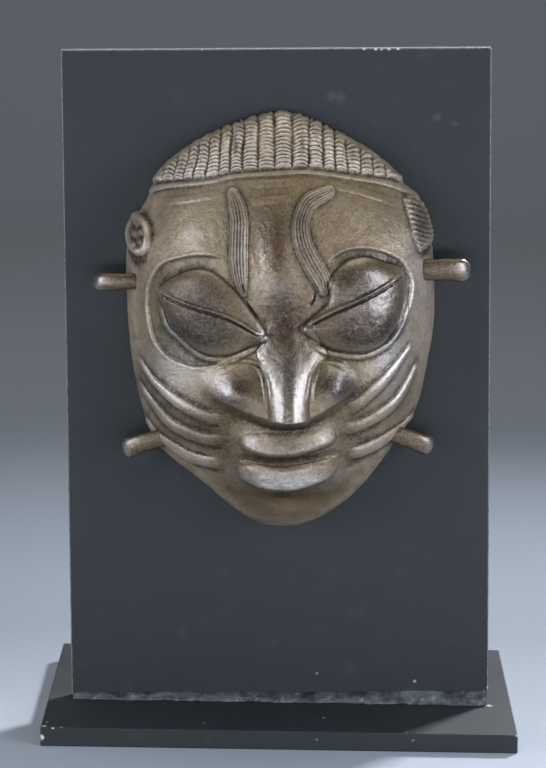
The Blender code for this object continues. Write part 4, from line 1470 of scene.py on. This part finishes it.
        # Crests above the soft mean are lightened (rubbing and painted highlight); hollows below it are
        # darkened (grime and painted shade).
        rubbed_and_highlight = np.clip((0.6 + 1.2 * hair) * fine, 0.0, 0.7) + np.clip(0.10 * broad, 0.0, 0.2)
        grime_and_shade = np.clip((-2.6 - 1.2 * hair) * fine, 0.0, 1.0) + np.clip(-0.30 * broad, 0.0, 0.6)
        grime_and_shade += patched(u, v, self.shade_and_grime_patches)
        rubbed_and_highlight += patched(u, v, self.highlight_and_rubbed_patches)
        gloss = patched(u, v, self.gloss_patches)
        inside = ease((1.0 - self.face.outline.share(u, v)) / 0.02)
        rubbed_and_highlight, grime_and_shade = np.clip(rubbed_and_highlight, 0.0, 1.0) * inside, np.clip(grime_and_shade, 0.0, 1.0) * inside
        return np.stack([rubbed_and_highlight, grime_and_shade, np.clip(gloss, 0.0, 1.0)], -1)

    def back(self) -> Array:
        """The plain, hollow inside, one wall behind the front, roughly finished.

        Returns:
            Points in the board's frame, one row for each ring.
        """
        u, v = self.grid(self.back_rings)
        depth = self.face.outline.dome(u, v)
        depth += 0.8 * self.face.nose.height * mound(u, v, (self.face.nose.centre, -34.0), (14.0, 14.0))
        depth[-1] = 0.0
        points = self.place(u, v, depth)
        fade = ease((1.0 - self.face.outline.share(u, v)) / 0.1)
        thick = self.wall + 0.25 * unevenness(u, v, 9.0, 31) * fade
        return points - self.normals(points) * (thick * MM)[..., None]

    def loop_points(self, loop: Loop) -> tuple[Array, Array]:
        """One loop as rings of an oval section carried along a bent strap.

        The path is a half turn out of the edge and back in, in the plane of the loop's heading;
        the section is an ellipse that grows thicker and lower towards the outer bend, like a knuckle.

        Args:
            loop: The loop's own sizes.

        Returns:
            Points in the board's frame and their nearness to the outer bend, a row for each station.
        """
        stations, corners = 49, 24
        turn = math.radians(loop.heading)
        outward = np.array([math.cos(turn), 0.0, math.sin(turn)])
        upward = np.array([-math.sin(turn), 0.0, math.cos(turn)])
        upward = upward if upward[2] > 0.0 else -upward
        foot = self.place(np.array(loop.foot[0]), np.array(loop.foot[1]), np.array(0.0))
        swing = np.linspace(0.0, math.pi, stations)
        bend = np.sign(np.cos(swing)) * np.abs(np.cos(swing)) ** 0.75
        depth = self.loop_back + self.loop_span / 2 + 0.5 * self.loop_span * bend
        level = np.minimum(depth / self.face.outline.depth, 0.95)
        slip = 1.0 - (1.0 - level**2) ** (1.0 / self.face.outline.power)
        root = -slip * math.hypot(*loop.foot) - 0.6 * self.wall
        out = root + (loop.reach - 0.6 - root) * np.sin(swing) ** 0.9
        drop = self.loop_drop * 0.5 * (1.0 - np.cos(swing))
        path = foot + outward * (out * MM)[:, None] - upward * (drop * MM)[:, None]
        path[:, 1] -= depth * MM
        run = np.gradient(path, axis=0)
        across = np.cross(run, upward)
        across /= np.linalg.norm(across, axis=1, keepdims=True)
        angle = 2.0 * math.pi * np.arange(corners) / corners
        wide = np.cos(angle) * self.loop_thick / 2
        tall = np.sign(np.sin(angle)) * np.abs(np.sin(angle)) ** 0.85 * loop.height / 2
        knob = np.sin(swing) ** 4
        run_mm = 8.0 * swing[:, None] + loop.heading
        along, around = run_mm + 2.5 * np.cos(angle), 4.0 * np.sin(angle) + 0.3 * run_mm
        uneven = 1.0 + 0.07 * unevenness(along, around, 2.3, 51)
        wide = wide * uneven * (1.0 + 0.35 * knob)[:, None]
        tall = tall * uneven * (0.86 + 0.24 * knob - 0.26 * knob**6)[:, None]
        points = path[:, None] + across[:, None] * (wide * MM)[..., None] + upward * (tall * MM)[..., None]
        return points, np.broadcast_to(knob[:, None], wide.shape)

    def build(self, material: bpy.types.Material) -> bpy.types.Object:
        """The casting as one mesh: front, inside, rim and loops, thinned to its telling facets.

        Args:
            material: The casting's finish.

        Returns:
            The linked object.
        """
        front, tones, wear = self.front()
        back = self.back()
        blocks = [front.mean(axis=1)[:1], front.reshape(-1, 3), back.mean(axis=1)[:1], back.reshape(-1, 3)]
        front_start, back_start = 1, 2 + self.rings * self.spokes
        here = np.arange(self.spokes)
        after = (here + 1) % self.spokes
        front_rim = front_start + (self.rings - 1) * self.spokes
        back_rim = back_start + (self.back_rings - 1) * self.spokes
        faces = [
            np.stack([np.zeros_like(here), front_start + here, front_start + after], -1),
            np.stack([np.full_like(here, back_start - 1), back_start + after, back_start + here], -1),
            ring_faces(self.rings, self.spokes, front_start),
            ring_faces(self.back_rings, self.spokes, back_start)[:, ::-1],
            np.stack([front_rim + here, back_rim + here, back_rim + after, front_rim + after], -1),
        ]
        count = sum(len(block) for block in blocks)
        knobs = []
        for loop in self.loops:
            rings, knob = self.loop_points(loop)
            knobs += [knob.ravel(), [0.0, 0.0]]
            stations, corners = rings.shape[:2]
            blocks += [rings.reshape(-1, 3), rings[:1].mean(axis=1), rings[-1:].mean(axis=1)]
            spot = np.arange(corners)
            caps = [(count + stations * corners, 0, 1), (count + stations * corners + 1, stations - 1, -1)]
            faces.append(ring_faces(stations, corners, count))
            for hub, ring, way in caps:
                edge = count + ring * corners + spot
                cap = np.stack([np.full_like(edge, hub), edge, np.roll(edge, -1)], -1)
                faces.append(cap if way > 0 else cap[:, ::-1])
            count += stations * corners + 2
        points = np.concatenate(blocks)
        world = self.board.to_world(points[:, 0], points[:, 1], points[:, 2])
        item = mesh_object("maskette_casting", world, faces, material)
        self.paint(item.data, tones, wear, np.concatenate(knobs))
        self.thin(item)
        return item

    def paint(self, mesh: bpy.types.Mesh, tones: Array, wear: Array, knobs: Array) -> None:
        """Stores the tones and the wear on the points.

        The inside is dusty and dark, the darkness partly painted shade; the loops are dark brown with painted
        shade towards their roots, and rubbed bright with a painted highlight on the outer bend.

        Args:
            mesh: The casting's mesh, still with its full grid.
            tones: Dust, verdigris and umber of the front.
            wear: Rubbing with painted highlight, hollows with painted shade, and gloss of the front.
            knobs: Nearness of each of the loops' points to its outer bend.
        """
        front = self.rings * self.spokes
        loops_start = 2 + front + self.back_rings * self.spokes
        rows = np.ones_like(knobs)
        loop_tones = np.stack([0.25 * rows, 0.35 * rows, 0.6 * rows], -1)
        # Loops: painted shade towards the roots, and rubbing with a painted highlight on the outer bend.
        # Inside: dusty, with partly painted shade.
        loop_wear_and_light = np.stack([0.9 * knobs**3, 0.6 - 0.6 * knobs, 0.25 + 0.75 * knobs], -1)
        plain = {"tones": (0.55, 0.3, 0.5), "wear": (0.0, 0.45, 0.0)}
        for name, values, loops in (("tones", tones, loop_tones), ("wear", wear, loop_wear_and_light)):
            full = np.ones((loops_start + len(knobs), 4))
            full[:, :3] = plain[name]
            full[1:1 + front, :3] = values.reshape(-1, 3)
            full[0, :3] = values[0].mean(axis=0)
            full[loops_start:, :3] = loops
            layer = mesh.attributes.new(name, "FLOAT_COLOR", "POINT")
            layer.data.foreach_set("color", full.ravel())

    def thin(self, item: bpy.types.Object) -> None:
        """Collapses the flattest facets and keeps the result as the object's own mesh.

        Args:
            item: The casting, with its full mesh.
        """
        modifier = item.modifiers.new("facets", "DECIMATE")
        modifier.ratio = self.kept
        modifier.use_collapse_triangulate = True
        graph = bpy.context.evaluated_depsgraph_get()
        slim = bpy.data.meshes.new_from_object(item.evaluated_get(graph), depsgraph=graph)
        full = item.data
        item.modifiers.remove(modifier)
        item.data = slim
        bpy.data.meshes.remove(full)
        slim.name = item.name


@dataclass
class AdhesiveBead:
    """The lumpy bead of adhesive under and along the board's foot."""

    board: BoardFrame
    reach: float = 3.4
    rise: float = 1.6
    back_reach: float = 2.8
    back_rise: float = 2.4
    lump: float = 0.28
    gap: float = 0.3
    inset: float = 0.77
    stations: int = 420
    corners: int = 16

    def lumpiness(self, x: Array) -> Array:
        """How much fuller or thinner the hand-run bead is at x: three sines about 1."""
        run = x / self.board.width
        wave = np.sin(31.0 * run + 0.6) + 0.7 * np.sin(57.0 * run + 2.1) + 0.5 * np.sin(97.0 * run)
        return 1.0 + self.lump * wave / 2.2

    def section(self, x: Array) -> tuple[Array, Array]:
        """Sections across the board's foot: front fillet, bed under the board and back fillet.

        Args:
            x: Places of the stations along the board, in metres.

        Returns:
            The y and z of each section's points, in metres, one row for each station.
        """
        foot = self.board.foot_height(x)[:, None]
        bed = self.board.base_thick + self.gap * MM
        front = self.board.face_y - self.gap * MM
        back = self.board.face_y + self.board.thick + self.gap * MM
        reach = (self.reach * self.lumpiness(x) * MM)[:, None]
        rise = (self.rise * self.lumpiness(x + 0.02) * MM)[:, None]
        swing = np.linspace(0.0, math.pi / 2, self.corners)[None]
        clump = 1.0 + 0.16 * unevenness(x[:, None] / MM, swing * 4.0, 2.4, 41) * np.sin(swing * 2.0)
        bulge = 0.5 * (np.sin(swing) + swing / (math.pi / 2))
        front_y = front - reach * np.cos(swing) * clump
        front_z = bed + (foot + rise - bed) * bulge
        rows = np.ones_like(foot)
        back_top = foot + self.back_rise * MM
        others_y = [front * rows, back * rows, back * rows, (back + 0.55 * self.back_reach * MM) * rows]
        others_z = [foot - self.gap * MM, foot - self.gap * MM, back_top, bed + 0.6 * (back_top - bed)]
        others_y.append((back + self.back_reach * MM) * rows)
        others_z.append(bed * rows)
        return np.hstack([front_y, *others_y]), np.hstack([front_z, *others_z])

    def build(self, material: bpy.types.Material) -> bpy.types.Object:
        """The bead as one loft along the board's foot."""
        half = self.board.width / 2 - self.inset * MM
        x = np.linspace(-half, half, self.stations)
        y, z = self.section(x)
        around = y.shape[1]
        points = np.stack([np.broadcast_to(x[:, None], y.shape), y, z], -1).reshape(-1, 3)
        first, last = points[:around].mean(axis=0), points[-around:].mean(axis=0)
        count = len(points)
        spot = np.arange(around)
        start = np.stack([np.full(around, count), spot, np.roll(spot, -1)], -1)
        last_ring = count - around + spot
        end = np.stack([np.full(around, count + 1), np.roll(last_ring, -1), last_ring], -1)
        faces = [ring_faces(self.stations, around)[:, ::-1], start[:, ::-1], end[:, ::-1]]
        item = mesh_object("adhesive_bead", np.vstack([points, first, last]), faces, material)
        item.data.set_sharp_from_angle(angle=math.radians(50))
        return item


@dataclass
class Stand:
    """The upright board and the foot plate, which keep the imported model's own solids."""

    board: BoardFrame
    board_height: float = 297.5
    board_name: str = "backboard"
    base_name: str = "base"
    board_marks: tuple[Mark, ...] = (
        Mark((33.2, -24.0, 309.7), 1.0), Mark((38.4, -24.0, 309.9), 1.3), Mark((41.0, -24.0, 309.9), 1.2),
        Mark((44.4, -24.0, 310.0), 1.4), Mark((48.4, -24.0, 310.0), 1.1), Mark((-39.0, -24.0, 308.3), 0.8),
        Mark((95.6, -24.0, 13.0), 1.8), Mark((95.9, -24.0, 16.6), 0.8), Mark((94.0, -24.0, 14.6), 0.8),
        Mark((19.0, -24.0, 288.3), 3.0, 0.05), Mark((23.0, -24.0, 287.6), 3.5, 0.04),
        Mark((66.5, -24.0, 279.5), 2.4, 0.05), Mark((74.5, -24.0, 277.0), 2.0, 0.04),
        Mark((17.0, -24.0, 22.0), 1.0, 0.4), Mark((62.0, -24.0, 19.0), 1.0, 0.5),
    )
    base_marks: tuple[Mark, ...] = (
        Mark((-105.2, -71.6, 8.6), 1.5), Mark((-101.0, -74.0, 8.6), 0.9), Mark((-97.4, -73.0, 8.6), 0.8),
        Mark((-106.2, -74.0, 4.0), 1.6), Mark((-104.4, -65.1, 8.6), 0.7), Mark((106.4, -74.0, 8.4), 1.1),
        Mark((-34.0, -63.0, 8.6), 0.7, 0.7), Mark((20.0, -51.0, 8.6), 0.9, 0.8),
        # The large mark at (96.4, -26.5) by the board's right foot is a painted glint, light catching the
        # adhesive's end.
        Mark((57.0, -72.5, 8.6), 0.8, 0.5), Mark((96.4, -26.5, 8.6), 2.2, 0.8),
        Mark((17.0, -74.0, 5.0), 0.6, 0.4), Mark((60.0, -74.0, 5.4), 0.7, 0.3),
    )

    def dress(self, nodes: dict) -> None:
        """Gives both sheets their paint.

        Args:
            nodes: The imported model's objects by node name.
        """
        cos, sin = math.cos(self.board.lean), math.sin(self.board.lean)
        corner = self.board.corner / MM
        across = (cos, 0.0, sin)
        upward = (-sin, 0.0, cos)
        # The board's four edges are lightened a little: rubbed paint and painted edge highlights.
        edges = (
            WornLitEdge(across, corner.dot(across) + 0.5 * self.board.width / MM, 0.5 * self.board.width / MM),
            WornLitEdge(upward, corner.dot(upward) + 0.5 * self.board_height, 0.5 * self.board_height),
        )
        # Dust on the board's top edge and the foot plate's top also paints the light falling on them.
        board_paint = SatinPaint("satin_black_board", self.board_marks, edges, top_dust_and_light=0.6)
        base_paint = SatinPaint("satin_black_foot_plate", self.base_marks, roughness=0.54, top_dust_and_light=0.06)
        finishes = {self.board_name: board_paint, self.base_name: base_paint}
        for name, finish in finishes.items():
            material = finish.build()
            for slot in nodes[name].material_slots:
                slot.material = material
            LOG.info("dressed %s", name)


# Studio


class Lamp(Enum):
    """The studio's soft lights: place, size, power, spread in degrees and colour."""

    LEFT = ((-1.05, -0.82, 0.34), (0.5, 0.8), 17.0, 180.0, "#DCE6FF")
    RIGHT = ((1.05, -0.78, 0.38), (0.5, 0.8), 19.0, 180.0, "#DCE6FF")
    CARD = ((0.0, -0.85, 0.11), (1.3, 0.16), 3.0, 180.0, "#EEF2FF")
    BACK = ((0.72, 0.86, 0.95), (0.20, 0.20), 5.0, 60.0, "#F4F7FF")
    TOP = ((0.0, 0.2, 2.6), (1.8, 1.8), 34.0, 180.0, "#FFFBF4")


@dataclass
class Studio:
    """Curved pale paper, soft lights and the camera."""

    lens: float = 156.661
    place: tuple[float, float, float] = (0.004501, -1.515568, 0.427780)
    pitch: float = 10.2835
    yaw: float = -0.37325
    roll: float = -0.81373
    sky: str = "#A9AEB4"
    sky_strength: float = 0.30
    aim: tuple[float, float, float] = (0.0, -0.03, 0.17)

    def paper(self) -> bpy.types.Object:
        """A sheet that runs level and then curves up behind the object.

        Returns:
            The linked object.
        """
        turn, radius, start = np.linspace(0.0, math.pi / 2, 32), 1.2, 1.6
        y = np.concatenate([[-3.0], start + radius * np.sin(turn), [start + radius]])
        z = np.concatenate([[0.0], radius * (1.0 - np.cos(turn)), [4.0]])
        x = np.linspace(-4.0, 4.0, 9)
        points = np.stack(np.broadcast_arrays(x[None], y[:, None], z[:, None]), -1).reshape(-1, 3)
        faces = [ring_faces(len(y), len(x), closed=False)[:, ::-1]]
        return mesh_object("studio_paper", points, faces, StudioPaper().build())

    def lights(self) -> None:
        """The soft lights and the even glow of the room."""
        for lamp in Lamp:
            place, size, power, spread, colour = lamp.value
            light = bpy.data.lights.new(f"light_{lamp.name.lower()}", "AREA")
            light.shape, light.energy = "RECTANGLE", power
            light.size, light.size_y = size
            light.spread = math.radians(spread)
            light.color = linear(colour)[:3]
            item = bpy.data.objects.new(light.name, light)
            item.location = place
            towards = Vector(self.aim) - Vector(place)
            item.rotation_euler = towards.to_track_quat("-Z", "Y").to_euler()
            bpy.context.scene.collection.objects.link(item)
        world = bpy.data.worlds.new("room")
        world.use_nodes = True
        glow = world.node_tree.nodes["Background"]
        glow.inputs[0].default_value = linear(self.sky)
        glow.inputs[1].default_value = self.sky_strength
        bpy.context.scene.world = world

    def camera(self) -> None:
        """The camera at the photograph's viewing angle."""
        pitch, yaw, roll = (math.radians(a) for a in (self.pitch, self.yaw, self.roll))
        ahead = Vector((math.sin(yaw) * math.cos(pitch), math.cos(yaw) * math.cos(pitch), -math.sin(pitch)))
        right = Vector((math.cos(yaw), -math.sin(yaw), 0.0))
        down = ahead.cross(right)
        level = right * math.cos(roll) + down * math.sin(roll)
        below = down * math.cos(roll) - right * math.sin(roll)
        turned = Matrix((level, -below, -ahead)).transposed().to_4x4()
        data = bpy.data.cameras.new("camera")
        data.lens, data.sensor_width = self.lens, 36.0
        data.clip_start, data.clip_end = 0.05, 50.0
        item = bpy.data.objects.new("camera", data)
        item.matrix_world = Matrix.Translation(self.place) @ turned
        bpy.context.scene.collection.objects.link(item)
        bpy.context.scene.camera = item

    def build(self) -> None:
        """Everything that isn't the object."""
        self.paper()
        self.lights()
        self.camera()
        bpy.context.scene.view_settings.view_transform = "Standard"


def finish_piece(piece: bpy.types.Object, node: str) -> None:
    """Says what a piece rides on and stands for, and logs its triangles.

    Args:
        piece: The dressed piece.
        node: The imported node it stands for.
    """
    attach(piece, "root")
    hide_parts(node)
    piece.data.calc_loop_triangles()
    LOG.info("%s: %d triangles", piece.name, len(piece.data.loop_triangles))


def main() -> None:
    """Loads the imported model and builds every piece."""
    logging.basicConfig(level=logging.INFO, format="%(name)s: %(message)s")
    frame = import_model()
    board = BoardFrame()
    brass = PatinatedBrass().build()
    finish_piece(Maskette(board).build(brass), "maskette")
    finish_piece(AdhesiveBead(board).build(SetAdhesive().build()), "glue")
    Stand(board).dress(frame["nodes"])
    Studio().build()


if __name__ == "__main__":
    main()
